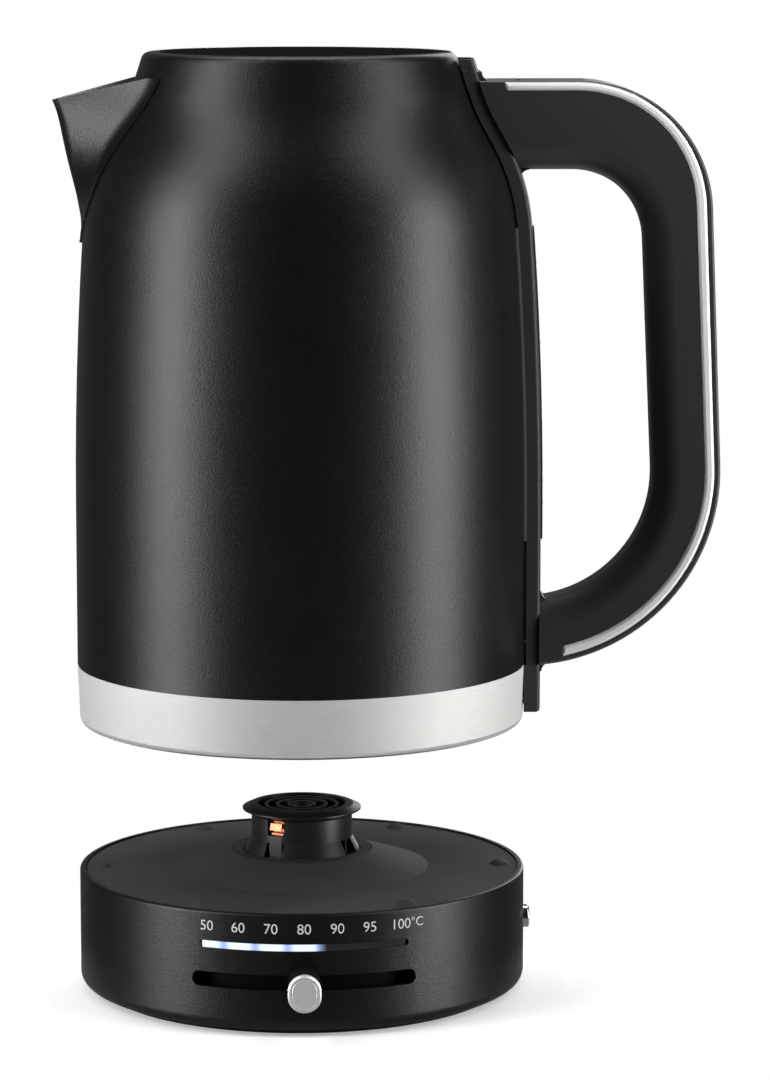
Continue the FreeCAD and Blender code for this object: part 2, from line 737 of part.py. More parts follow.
def lid_cap():
    """Crowned lid top, flush in the rim, bevelled under its edge to swing clear."""
    radius = MOUTH_R - LID_GAP
    bevel = LID_PLATE_T - LID_EDGE_T
    edge = [(radius - bevel, LID_LOW_Z), (radius, LID_LOW_Z + bevel), (radius, RIM_Z)]
    plate = turned([(0, LID_LOW_Z)] + edge + [(0, RIM_Z)])
    dome_r = (radius ** 2 + LID_CROWN ** 2) / (2 * LID_CROWN)
    dome = Part.makeSphere(dome_r, Vector(0, 0, RIM_Z + LID_CROWN - dome_r))
    crown = disc(radius, RIM_Z, RIM_Z + 2 * LID_CROWN).common(dome)
    return plate.fuse(crown).removeSplitter()


def lid_screw_spots():
    return [around(LID_SCREW_PITCH_R, angle) for angle in spread(LID_SCREWS, LID_SCREW_FIRST)]


def lid_liner():
    """Hollow plug under the lid with the hinge arm and its knuckle."""
    low = RIM_Z - LINER_DEPTH
    plug = disc(LINER_R, low, LID_LOW_Z)
    plug = plug.cut(disc(LINER_R - LINER_WALL, low + LINER_WALL, LID_LOW_Z))
    seal_z = RIM_Z - SEAL_DROP
    plug = plug.cut(tube(LINER_R - LINER_WALL / 2, LINER_R + PLAY, seal_z - SEAL_H / 2, seal_z + SEAL_H / 2))
    for spot in lid_screw_spots():
        foot = spot + Vector(0, 0, low + LINER_WALL)
        post = Part.makeCylinder(2 * LID_SCREW_R, LID_LOW_Z - low - LINER_WALL, foot)
        plug = plug.fuse(post)
        plug = plug.cut(Part.makeCylinder(LID_SCREW_R, LID_LOW_Z, spot))
    arm_low = LID_LOW_Z - ARM_T
    arm = block((LINER_R - LINER_WALL, HINGE_X), (-KNUCKLE_HALF_W, KNUCKLE_HALF_W), (arm_low, LID_LOW_Z))
    knuckle = Part.makeCylinder(KNUCKLE_R, 2 * KNUCKLE_HALF_W, Vector(HINGE_X, -KNUCKLE_HALF_W, HINGE_Z), AHEAD)
    bore = Part.makeCylinder(
        HINGE_PIN_R + PIN_PLAY, 4 * KNUCKLE_HALF_W, Vector(HINGE_X, -2 * KNUCKLE_HALF_W, HINGE_Z), AHEAD
    )
    lobe = block((0, LOBE_REACH), (-KNUCKLE_HALF_W, KNUCKLE_HALF_W), (-LOBE_T / 2, LOBE_T / 2))
    lobe.rotate(Vector(), AHEAD, LOBE_ANGLE)
    lobe.translate(Vector(HINGE_X, 0, HINGE_Z))
    over = block((HINGE_X - KNUCKLE_R, HINGE_X + KNUCKLE_R), (-BODY_R, BODY_R), (HINGE_Z + KNUCKLE_R, RIM_Z))
    return plug.fuse(arm).cut(over).fuse(knuckle).fuse(lobe).cut(bore).removeSplitter()


def lid_seal():
    """Silicone ring in the liner's groove."""
    seal_z = RIM_Z - SEAL_DROP
    return tube(LINER_R - LINER_WALL / 2, COLLAR_R - PLAY, seal_z - SEAL_H / 2, seal_z + SEAL_H / 2)


def lid_screws():
    """Screws up through the liner into the lid top."""
    low = RIM_Z - LINER_DEPTH
    screws = []
    for spot in lid_screw_spots():
        shank = Part.makeCylinder(LID_SCREW_R - PIN_PLAY, LID_LOW_Z - low, spot + Vector(0, 0, low))
        head = Part.makeCylinder(2 * LID_SCREW_R, LID_SCREW_R, spot + Vector(0, 0, low - LID_SCREW_R))
        screws.append(shank.fuse(head).removeSplitter())
    return Part.makeCompound(screws)


def hinge_pin():
    """Steel pin through the strip's ears and the lid's knuckle."""
    length = 2 * (STRIP_HALF_W - PIN_END_ROOM)
    return Part.makeCylinder(HINGE_PIN_R, length, Vector(HINGE_X, -length / 2, HINGE_Z), AHEAD)


def lid_spring():
    """Torsion spring wound round the hinge pin beside the knuckle."""
    helix = Part.makeHelix(SPRING_PITCH, SPRING_PITCH * SPRING_TURNS, SPRING_COIL_R)
    wire = Part.Wire(Part.Circle(Vector(SPRING_COIL_R, 0, 0), AHEAD, SPRING_WIRE_R).toShape())
    coil = Part.Wire(helix).makePipeShell([wire], True, True)
    coil.rotate(Vector(), OUT, -90)
    coil.translate(Vector(HINGE_X, KNUCKLE_HALF_W + PLAY + SPRING_WIRE_R, HINGE_Z))
    return coil


# Filter behind the spout

def filter_place(shape):
    """Stands a flat filter piece, drawn about its top edge, in its lean behind the spout."""
    top = RIM_Z - BODY_WALL - COLLAR_H - PLAY
    corner = side_radius(top) - BODY_WALL - FILTER_WALL_ROOM
    x = math.sqrt(corner ** 2 - (FILTER_W / 2) ** 2)
    shape.rotate(Vector(), AHEAD, FILTER_LEAN)
    shape.translate(Vector(-x, 0, top))
    return shape


def filter_frame():
    """Moulded frame with a window for the mesh."""
    half = FILTER_W / 2
    frame = block((0, FILTER_T), (-half, half), (-FILTER_H, 0))
    inner = half - FILTER_BORDER
    window = block((-FILTER_T, 2 * FILTER_T), (-inner, inner), (FILTER_BORDER - FILTER_H, -FILTER_BORDER))
    return filter_place(frame.cut(window))


def filter_mesh():
    """Punched steel sheet held in the frame's window."""
    inner = FILTER_W / 2 - FILTER_BORDER
    low = FILTER_BORDER - FILTER_H
    step_y = 2 * inner / MESH_COLUMNS
    step_z = -(low + FILTER_BORDER) / MESH_ROWS
    middle = (FILTER_T - MESH_T) / 2

    def outline(y, z, width, height):
        points = [Vector(middle, y, z), Vector(middle, y + width, z)]
        points += [Vector(middle, y + width, z + height), Vector(middle, y, z + height)]
        return Part.makePolygon(points + points[:1])

    holes = []
    for row in range(MESH_ROWS):
        for column in range(MESH_COLUMNS):
            y = -inner + column * step_y + MESH_WEB / 2
            z = low + row * step_z + MESH_WEB / 2
            holes.append(outline(y, z, step_y - MESH_WEB, step_z - MESH_WEB))
    sheet = Part.Face([outline(-inner, low, 2 * inner, MESH_ROWS * step_z)] + holes)
    return filter_place(sheet.extrude(OUT * MESH_T))


# Bottom of the jug

def base_band():
    """Brushed steel band round the foot of the jug, tapered and rounded at its lower edge."""
    low_r = BODY_R - BAND_TAPER
    ring = turned([(0, BAND_LIFT), (low_r, BAND_LIFT), (BODY_R, BAND_TOP), (0, BAND_TOP)])
    ring = ring.makeFillet(BAND_ROUND, [e for e in ring.Edges if on_circle(e, low_r, BAND_LIFT)])
    ring = ring.cut(disc(BAND_FOOT_R, BAND_LIFT, BAND_TOP))
    return ring.cut(disc(low_r - BAND_T, BAND_LIFT + BAND_T, BAND_TOP))


def on_circle(edge, radius, height):
    """Is this edge the full circle of a radius at a height?"""
    centred = abs(edge.CenterOfMass.z - height) < 0.01
    return centred and abs(edge.Length - 2 * math.pi * radius) < 0.01


def cover_screw_spots():
    return [around(COVER_SCREW_PITCH_R, angle) for angle in spread(COVER_SCREWS, COVER_SCREW_FIRST)]


def cover_step():
    """Height of the cover's outer step, clear of the band's turned-in foot."""
    return BAND_LIFT + BAND_T + GLUE_GAP


def recess_edge():
    """Outer radius of the raised centre, where the flat seat begins."""
    return CONE_FOOT_R + PLAY + 2 * COVER_T


def bottom_cover():
    """Moulded underside: flat seat, screw posts and a wall up inside the jug."""
    inner = BODY_R - BAND_TAPER - BAND_T - GLUE_GAP
    step = cover_step()
    foot = BAND_FOOT_R - GLUE_GAP
    edge = recess_edge() + GLUE_GAP
    cover = turned([
        (edge, 0), (foot, 0), (foot, step), (inner, step), (inner, COVER_WALL_TOP),
        (inner - COVER_WALL, COVER_WALL_TOP), (inner - COVER_WALL, step + COVER_T), (edge, step + COVER_T),
    ])
    for spot in cover_screw_spots():
        cover = cover.fuse(Part.makeCylinder(STUD_R, STUD_LOW - step, spot + Vector(0, 0, step)))
        cover = cover.cut(Part.makeCylinder(COVER_SCREW_R, STUD_LOW, spot))
        cover = cover.cut(Part.makeCylinder(COVER_SCREW_HEAD_R, COVER_SCREW_HEAD_H, spot))
    return cover.removeSplitter()


def recess_cone():
    """Raised centre of the underside: it clears the base's cone and rings the socket."""
    edge = recess_edge()
    seat_in = edge - COVER_T
    hub = SOCKET_R + SOCKET_WALL + GLUE_GAP
    top = cover_step() + COVER_T
    return turned([
        (hub, RECESS_Z), (seat_in - CONE_RUN, RECESS_Z), (seat_in, 0), (edge, 0), (edge, top),
        (edge - CONE_RUN, RECESS_Z + COVER_T), (hub, RECESS_Z + COVER_T),
    ])


def cover_screws():
    """Long screws from the underside up into the studs of the heater plate."""
    screws = []
    for spot in cover_screw_spots():
        start = spot + Vector(0, 0, COVER_SCREW_HEAD_H)
        shank = Part.makeCylinder(COVER_SCREW_R - PIN_PLAY, COVER_SCREW_LENGTH, start)
        head = Part.makeCylinder(COVER_SCREW_HEAD_R - PIN_PLAY, COVER_SCREW_HEAD_H, spot)
        screws.append(shank.fuse(head).removeSplitter())
    return Part.makeCompound(screws)


def jug_socket():
    """Deep cup that drops over the base's connector."""
    cup = disc(SOCKET_R + SOCKET_WALL, RECESS_Z, SOCKET_ROOF_Z + SOCKET_ROOF)
    return cup.cut(disc(SOCKET_R, RECESS_Z, SOCKET_ROOF_Z))


def socket_contacts():
    """Live and neutral contact rings and the earth pin under the socket's roof."""
    rings = []
    for a, b in zip(RIDGE_RADII, RIDGE_RADII[1:]):
        middle = (a + b) / 2
        rings.append(tube(middle - RING_T / 2, middle + RING_T / 2, SOCKET_ROOF_Z - RING_REACH, SOCKET_ROOF_Z))
    pin = disc(CONTACT_PIN_R, SOCKET_ROOF_Z - CONTACT_PIN_REACH, SOCKET_ROOF_Z)
    return Part.makeCompound(rings + [pin])


def control_block():
    """Thermostat moulding between the socket and the heat spreader."""
    body = disc(CONTROL_R, CONTROL_Z, CONTROL_Z + CONTROL_H)
    for angle in spread(3, 90.0):
        spot = around(CONTROL_R - 2 * CONTROL_POST_R, angle, CONTROL_Z)
        body = body.fuse(Part.makeCylinder(CONTROL_POST_R, SPREADER_Z - CONTROL_Z, spot))
    return body.removeSplitter()


def probe_spot(height):
    return around(BIMETAL_PITCH_R, PROBE_ANGLE, height)


def heater_plate():
    """Steel floor of the jug with a skirt down inside the wall."""
    radius = BODY_IN_R - GLUE_GAP
    plate = disc(radius, PLATE_Z - HEATER_PLATE_T, PLATE_Z)
    skirt = tube(radius - HEATER_PLATE_T, radius, PLATE_Z - HEATER_SKIRT, PLATE_Z)
    plate = plate.fuse(skirt)
    top = PLATE_Z - HEATER_PLATE_T / 2
    for spot in cover_screw_spots():
        plate = plate.fuse(Part.makeCylinder(STUD_R, top - STUD_LOW, spot + Vector(0, 0, STUD_LOW)))
        depth = COVER_SCREW_HEAD_H + COVER_SCREW_LENGTH + PLAY
        plate = plate.cut(Part.makeCylinder(COVER_SCREW_R, depth, spot))
    hole = Part.makeCylinder(PROBE_R + PIN_PLAY, 2 * PLATE_Z, probe_spot(0))
    return plate.cut(hole).removeSplitter()


def heat_spreader():
    """Aluminium disc under the floor."""
    hole = Part.makeCylinder(PROBE_R + PIN_PLAY, 2 * PLATE_Z, probe_spot(0))
    return disc(SPREADER_R, SPREADER_Z, SPREADER_Z + SPREADER_T).cut(hole)


def heating_element():
    """Sheathed element bent into an open ring, with a cold pin at each end."""
    section = Part.Face(Part.Wire(Part.Circle(Vector(ELEMENT_R, 0, ELEMENT_Z), AHEAD, ELEMENT_TUBE_R).toShape()))
    ring = section.revolve(Vector(), UP, ELEMENT_SWEEP)
    for angle, way in ((0.0, -1), (ELEMENT_SWEEP, 1)):
        end = around(ELEMENT_R, angle, ELEMENT_Z)
        along = around(1.0, angle + way * 90.0)
        ring = ring.fuse(Part.makeCylinder(ELEMENT_PIN_R, ELEMENT_PIN, end, along))
    return ring.removeSplitter()


def bimetal_discs():
    """Two snap discs that sense the spreader's heat."""
    discs = []
    for angle in BIMETAL_ANGLES:
        spot = around(BIMETAL_PITCH_R, angle, SPREADER_Z - BIMETAL_T)
        discs.append(Part.makeCylinder(BIMETAL_R, BIMETAL_T, spot))
    return Part.makeCompound(discs)


def temperature_probe():
    """Steel sensor tube through the floor, with a round tip in the water."""
    low = PLATE_Z - HEATER_PLATE_T - SPREADER_T - PROBE_BELOW
    high = PLATE_Z + PROBE_ABOVE - PROBE_R
    stem = Part.makeCylinder(PROBE_R, high - low, probe_spot(low))
    return stem.fuse(Part.makeSphere(PROBE_R, probe_spot(high))).removeSplitter()


def probe_seal():
    """Silicone washer round the probe on the floor."""
    outer = Part.makeCylinder(PROBE_SEAL_R, PROBE_SEAL_T, probe_spot(PLATE_Z))
    return outer.cut(Part.makeCylinder(PROBE_R + PIN_PLAY, PROBE_SEAL_T, probe_spot(PLATE_Z)))


# Handle

def gauge_span(margin):
    """Low and high ends of the gauge, drawn in by a margin."""
    return (GAUGE_LOW + margin, GAUGE_HIGH - margin)


def strip_slice(half_w, low, high, from_grow, to_grow):
    """A stretch of the jug's back between two skins of its side."""
    bar = block((0, 2 * BODY_R), (-half_w, half_w), (low, high))
    return bar.common(side_solid(to_grow)).cut(side_solid(from_grow))


def strip_blank():
    """The strip before its pockets: on the band at its foot, a gasket's thickness off the wall above."""
    strip = block((0, 2 * BODY_R), (-STRIP_HALF_W, STRIP_HALF_W), (STRIP_BOTTOM, STRIP_TOP)).common(STRIP_FORM)
    strip = strip.cut(SIDE)
    strip = strip.makeFillet(STRIP_EDGE_ROUND, [e for e in strip.Edges if edge_on_strip_corner(e)])
    stand_off = side_solid(GAUGE_SEAL_T).common(disc(2 * BODY_R, BAND_TOP, RIM_Z))
    return strip.cut(stand_off).cut(strip_foot_corner())


def strip_foot_corner():
    """What the round takes off the strip's lower outer corner."""
    x = BODY_R + STRIP_T - STRIP_FOOT_ROUND
    z = STRIP_BOTTOM + STRIP_FOOT_ROUND
    corner = block((x, x + STRIP_T), (-BODY_R, BODY_R), (0, z))
    return corner.cut(Part.makeCylinder(STRIP_FOOT_ROUND, 2 * BODY_R, Vector(x, -BODY_R, z), AHEAD))


def handle_strip():
    """Moulded strip up the jug's back: hinge ears on top, pockets for gauge and hinge cover."""
    strip = strip_blank().cut(hinge_notch())
    pin = Part.makeCylinder(HINGE_PIN_R, 4 * STRIP_HALF_W, Vector(HINGE_X, -2 * STRIP_HALF_W, HINGE_Z), AHEAD)
    strip = strip.cut(pin).cut(hinge_cover_form())
    pocket = strip_slice(GAUGE_HALF_W, *gauge_span(0), STRIP_T + GAUGE_PROUD - GAUGE_PLATE_T, STRIP_T + GAUGE_PROUD)
    throat = strip_slice(GAUGE_BOSS_HALF_W, *gauge_span(GAUGE_MARGIN / 2), 0, STRIP_T)
    return strip.cut(pocket).cut(throat).cut(latch_tunnel()).cut(handle_screw_holes(HANDLE_SCREW_R))


def edge_on_strip_corner(edge):
    """Is this one of the strip's two long outer corners?"""
    middle = edge.valueAt((edge.FirstParameter + edge.LastParameter) / 2)
    on_side = abs(abs(middle.y) - STRIP_HALF_W) < 0.01
    ends = [abs(abs(v.Y) - STRIP_HALF_W) < 0.01 for v in edge.Vertexes]
    skin = STRIP_FORM.Shells[0].distToShape(Part.Vertex(middle))[0]
    upright = abs(edge.Vertexes[0].Z - edge.Vertexes[-1].Z) > 1.0
    return on_side and all(ends) and skin < 0.01 and upright


def hinge_cover_form():
    """The slim cover's space over the hinge, at the strip's top."""
    low = STRIP_TOP - HINGE_COVER_H
    return strip_slice(STRIP_HALF_W, low, STRIP_TOP + RIM_ROUND, STRIP_T - HINGE_COVER_T, STRIP_T + RIM_ROUND)


def hinge_cover():
    """Slim snap-on cover behind the lid hinge."""
    return strip_blank().common(hinge_cover_form()).cut(latch_tunnel()).cut(arm_way())


def gauge_window():
    """Clear gauge: a plate proud of the strip with a boss back to the jug's slot."""
    plate = strip_slice(
        GAUGE_HALF_W - GLUE_GAP, *gauge_span(GLUE_GAP), STRIP_T + GAUGE_PROUD - GAUGE_PLATE_T, STRIP_T + GAUGE_PROUD
    )
    boss = strip_slice(
        GAUGE_BOSS_HALF_W - GLUE_GAP, *gauge_span(GAUGE_MARGIN / 2 + GLUE_GAP), GAUGE_SEAL_T, STRIP_T
    )
    return plate.fuse(boss).removeSplitter()


def gauge_seal():
    """Flat gasket under the gauge, out to the strip's edges, between them and the jug's wall."""
    sheet = strip_slice(STRIP_HALF_W, *gauge_span(0), 0, GAUGE_SEAL_T)
    slot = block((0, 2 * BODY_R), (-GAUGE_SLOT_HALF_W, GAUGE_SLOT_HALF_W), gauge_span(GAUGE_MARGIN))
    return sheet.cut(slot)


def loop_face(upper, lower, y):
    """A D-shaped face at y: flat top, two arcs and their common tangent, open side inside the jug."""
    from_upper = math.atan2(lower[1] - upper[1], lower[0] - upper[0])
    apart = math.hypot(lower[0] - upper[0], lower[1] - upper[1])
    angle = from_upper + math.acos((upper[2] - lower[2]) / apart)

    def on(circle, turn):
        return Vector(circle[0] + circle[2] * math.cos(turn), y, circle[1] + circle[2] * math.sin(turn))

    down = -math.pi / 2
    inside = BODY_R / 2
    top = Vector(inside, y, upper[1] + upper[2])
    low = Vector(inside, y, lower[1] - lower[2])
    edges = [
        Part.makeLine(top, on(upper, math.pi / 2)),
        Part.Arc(on(upper, math.pi / 2), on(upper, (math.pi / 2 + angle) / 2), on(upper, angle)).toShape(),
        Part.makeLine(on(upper, angle), on(lower, angle)),
        Part.Arc(on(lower, angle), on(lower, (angle + down) / 2), on(lower, down)).toShape(),
        Part.makeLine(on(lower, down), low),
        Part.makeLine(low, top),
    ]
    return Part.Face(Part.Wire(edges))


def loop_solid(circles, half_w):
    """The filled D through the handle's width."""
    return loop_face(*circles, -half_w).extrude(AHEAD * 2 * half_w)


def drawn_in(circle, amount):
    """A circle with its radius made smaller."""
    return (circle[0], circle[1], circle[2] - amount)


def corner_inside(circle, top, side):
    """The circle of a rounder or sharper corner that lies so far inside another at its top and at its side."""
    radius = circle[2] - (top + side) / 2
    return (circle[0] + circle[2] - side - radius, circle[1] + circle[2] - top - radius, radius)


OUTER = (GRIP_OUTER_UPPER, GRIP_OUTER_LOWER)
INNER = (GRIP_INNER_UPPER, GRIP_INNER_LOWER)
TRIM_OUTER = (corner_inside(GRIP_OUTER_UPPER, COVER_TOP_T, COVER_SIDE_T), drawn_in(GRIP_OUTER_LOWER, COVER_LOW_T))
TRIM_INNER = (corner_inside(TRIM_OUTER[0], TRIM_TOP_W, TRIM_SIDE_W), drawn_in(TRIM_OUTER[1], TRIM_LOW_W))
TRIM_BACK = tuple(drawn_in(c, TRIM_WEB) for c in TRIM_OUTER)


def trim_reach():
    """Where the bright trim runs: past its start on top and its end below."""
    top = block((TRIM_START_X, 4 * BODY_R), (-BODY_R, BODY_R), (GRIP_OUTER_LOWER[1], RIM_Z + BODY_R))
    low = block((TRIM_END_X, 4 * BODY_R), (-BODY_R, BODY_R), (-BODY_R, GRIP_OUTER_LOWER[1]))
    return top.fuse(low)


def release_well(grow):
    """The well in the handle's top for the lid button."""
    half = RELEASE_LENGTH / 2 + grow
    return block(
        (RELEASE_X - half, RELEASE_X + half),
        (-RELEASE_HALF_W - grow, RELEASE_HALF_W + grow),
        (GRIP_TOP_Z - RELEASE_WELL, RIM_Z + BODY_R),
    )


def latch_tunnel():
    """The cranked way for the latch bar from the well to the hinge."""
    y = (-LATCH_HALF_W - PLAY, LATCH_HALF_W + PLAY)
    nose_low = LATCH_NOSE_Z - LATCH_H - PLAY
    room = LATCH_TRAVEL + PLAY
    nose = block((latch_nose_x() - room, LATCH_LINK_X + LATCH_H + room), y, (nose_low, LATCH_NOSE_Z + PLAY))
    link = block((LATCH_LINK_X - PLAY, LATCH_LINK_X + LATCH_H + room), y, (LATCH_Z - PLAY, LATCH_NOSE_Z + PLAY))
    bar = block((LATCH_LINK_X - PLAY, RELEASE_X), y, (LATCH_Z - PLAY, LATCH_Z + LATCH_H + PLAY))
    return nose.fuse(link).fuse(bar)


def corner_web(z, side, half):
    """A hollow-rounded web where the handle meets the strip; side is 1 above a corner, -1 below it."""
    r = GRIP_WEB_R
    x = strip_face_x(z)
    low, high = sorted((z, z + side * r))
    web = block((x - 2 * r, x + r), (-half, half), (low, high))
    return web.cut(Part.makeCylinder(r, 2 * half, Vector(x + r, -half, z + side * r), AHEAD))


def strip_face_x(z):
    """Where the strip's back face lies at a height."""
    return side_radius(z) + STRIP_T


def web_height(circle):
    """Where the underside of a lower circle lies, a web's width away from the strip."""
    x = strip_face_x(circle[1] - circle[2]) + GRIP_WEB_R - circle[0]
    return circle[1] - math.sqrt(circle[2] ** 2 - x ** 2)


def inner_webs():
    """Webs at the finger gap's two corners, between its rounded edges."""
    half = GRIP_HALF_W - GRIP_WEB_SHARE * GRIP_ROUND
    under = GRIP_INNER_UPPER[1] + GRIP_INNER_UPPER[2]
    low = GRIP_INNER_LOWER[1] - GRIP_INNER_LOWER[2]
    return [corner_web(under, -1, half), corner_web(low, 1, half)]


def outer_webs():
    """Webs above the handle's top and below its foot."""
    half = GRIP_HALF_W - GRIP_WEB_R
    return [corner_web(GRIP_TOP_Z, 1, half), corner_web(web_height(GRIP_OUTER_LOWER), -1, half)]


def edges_on(solid, face):
    """The solid's edges that lie on a face's outline and not inside the jug."""
    found = []
    for edge in solid.Edges:
        middle = edge.valueAt((edge.FirstParameter + edge.LastParameter) / 2)
        near = face.OuterWire.distToShape(Part.Vertex(middle))[0] < 0.01
        along_y = abs(edge.Vertexes[0].Y - edge.Vertexes[-1].Y) > 0.01
        if near and not along_y and middle.x > BODY_R / 2 + 1:
            found.append(edge)
    return found


def trim_band(half):
    """The trim's run through the handle, its inner corner rounded at each end."""
    band = loop_solid(TRIM_OUTER, half).cut(loop_solid(TRIM_INNER, 2 * half)).common(trim_reach())
    corners = []
    for edge in band.Edges:
        middle = edge.CenterOfMass
        across = abs(edge.Vertexes[0].Y - edge.Vertexes[-1].Y) > half
        at_end = min(abs(middle.x - TRIM_START_X), abs(middle.x - TRIM_END_X)) < 0.01
        outer = loop_face(*TRIM_OUTER, 0).OuterWire.distToShape(Part.Vertex(middle))[0] < 0.01
        if across and at_end and not outer:
            corners.append(edge)
    return band.makeFillet(TRIM_END_ROUND, corners)


def handle_grip():
    """Moulded loop with rounded inner edges and a core that the trim wraps."""
    loop = loop_solid(TRIM_OUTER, GRIP_HALF_W).cut(loop_solid(INNER, 2 * GRIP_HALF_W))
    rounded = []
    for y in (-GRIP_HALF_W, GRIP_HALF_W):
        rounded += edges_on(loop, loop_face(*INNER, y))
    loop = loop.makeFillet(GRIP_ROUND, rounded)
    band = trim_band(2 * GRIP_HALF_W)
    core = loop_solid(TRIM_BACK, GRIP_HALF_W - TRIM_WALL).common(band)
    loop = loop.cut(band).fuse(core)
    loop = loop.fuse(inner_webs()).cut(STRIP_FORM)
    return loop.cut(release_well(PLAY)).cut(latch_tunnel()).cut(handle_screw_holes(HANDLE_SCREW_R)).removeSplitter()


def handle_trim():
    """Bright metal channel let into the handle's sides, its outer corners bevelled."""
    half = GRIP_HALF_W + TRIM_PROUD
    band = trim_band(half)
    corners = []
    for y in (-half, half):
        corners += edges_on(band, loop_face(*TRIM_OUTER, y)) + edges_on(band, loop_face(*TRIM_INNER, y))
    band = band.makeChamfer(TRIM_BEVEL, corners)
    core = loop_solid(TRIM_BACK, GRIP_HALF_W - TRIM_WALL)
    return band.cut(core).cut(release_well(PLAY)).removeSplitter()


def handle_back_cover():
    """Crowned dark cover round the outside of the handle."""
    half = GRIP_HALF_W - GLUE_GAP
    cover = loop_solid(OUTER, half)
    rounded = []
    for y in (-half, half):
        rounded += edges_on(cover, loop_face(*OUTER, y))
    cover = cover.makeFillet(COVER_ROUND, rounded)
    cover = cover.cut(loop_solid(TRIM_OUTER, 2 * half)).fuse(outer_webs()).cut(STRIP_FORM)
    return cover.cut(release_well(PLAY)).removeSplitter()


def handle_screws():
    """Screws from inside the jug through wall and strip into the handle's two feet."""
    screws = []
    for z, y in handle_screw_spots():
        wall_r = side_radius(z + HANDLE_SCREW_HEAD_R) - BODY_WALL - SCREW_HEAD_GAP
        wall_x = math.sqrt(wall_r ** 2 - (abs(y) + HANDLE_SCREW_HEAD_R) ** 2)
        shank = Part.makeCylinder(HANDLE_SCREW_R - PIN_PLAY, HANDLE_SCREW_LENGTH, Vector(wall_x, y, z), OUT)
        head_x = wall_x - HANDLE_SCREW_HEAD_H
        head = Part.makeCylinder(HANDLE_SCREW_HEAD_R, HANDLE_SCREW_HEAD_H, Vector(head_x, y, z), OUT)
        screws.append(shank.fuse(head).removeSplitter())
    return Part.makeCompound(screws)


def lid_release_button():
    """Thumb button flush in the handle's top, with a leg down to the latch."""
    half = RELEASE_LENGTH / 2
    y = RELEASE_HALF_W
    top = block((RELEASE_X - half, RELEASE_X + half), (-y, y), (GRIP_TOP_Z - RELEASE_T, GRIP_TOP_Z))
    edges = [e for e in top.Edges if abs(e.CenterOfMass.z - GRIP_TOP_Z) < 0.01]
    top = top.makeFillet(TRIM_WEB, edges)
    leg_x = RELEASE_X + half / 2
    leg = Part.makeCylinder(RELEASE_LEG_R, RELEASE_LEG, Vector(leg_x, 0, GRIP_TOP_Z - RELEASE_T - RELEASE_LEG))
    return top.fuse(leg).removeSplitter()


def latch_nose_x():
    """The bar's nose, just short of the knuckle."""
    return HINGE_X + KNUCKLE_R + LATCH_NOSE_GAP


def latch_slide():
    """Cranked bar between the button's leg and the hinge's lobe: it stops short of the lobe's sweep."""
    y = (-LATCH_HALF_W, LATCH_HALF_W)
    end = RELEASE_X + RELEASE_LENGTH / 4 - RELEASE_LEG_R - LATCH_TRAVEL - 2 * PLAY
    nose = block((latch_nose_x(), LATCH_LINK_X + LATCH_H), y, (LATCH_NOSE_Z - LATCH_H, LATCH_NOSE_Z))
    link = block((LATCH_LINK_X, LATCH_LINK_X + LATCH_H), y, (LATCH_Z, LATCH_NOSE_Z))
    bar = block((LATCH_LINK_X, end), y, (LATCH_Z, LATCH_Z + LATCH_H))
    return nose.fuse(link).fuse(bar).removeSplitter()


def button_spring():
    """Leaf spring under the lid button."""
    low = GRIP_TOP_Z - RELEASE_WELL
    x = RELEASE_X - RELEASE_LENGTH / 2
    foot = block((x, x + 2 * LEAF_HALF_W), (-LEAF_HALF_W - LATCH_HALF_W, -LATCH_HALF_W - PLAY), (low, low + LEAF_T))
    top = GRIP_TOP_Z - RELEASE_T
    stem = block((x, x + LEAF_T), (-LEAF_HALF_W - LATCH_HALF_W, -LATCH_HALF_W - PLAY), (low, top))
    tip = block((x, x + 2 * LEAF_HALF_W), (-LEAF_HALF_W - LATCH_HALF_W, -LATCH_HALF_W - PLAY), (top - LEAF_T, top))
    return foot.fuse(stem).fuse(tip).removeSplitter()


# Power base

def boss_spots():
    return [around(BOSS_PITCH_R, angle) for angle in spread(BASE_SCREWS, 45.0)]


def slot_space(half_angle, z, height, play):
    """A curved slot through the front wall, with round ends."""
    low = z - height / 2 - play
    high = z + height / 2 + play
    space = curved_bar(BASE_INNER_R - play, BASE_R + BASE_WALL, low, high, FRONT, half_angle)
    for side in (-1, 1):
        angle = FRONT + side * half_angle
        start = around(BASE_R - 2 * BASE_WALL, angle, z)
        space = space.fuse(Part.makeCylinder(height / 2 + play, 4 * BASE_WALL, start, around(1.0, angle)))
    return space


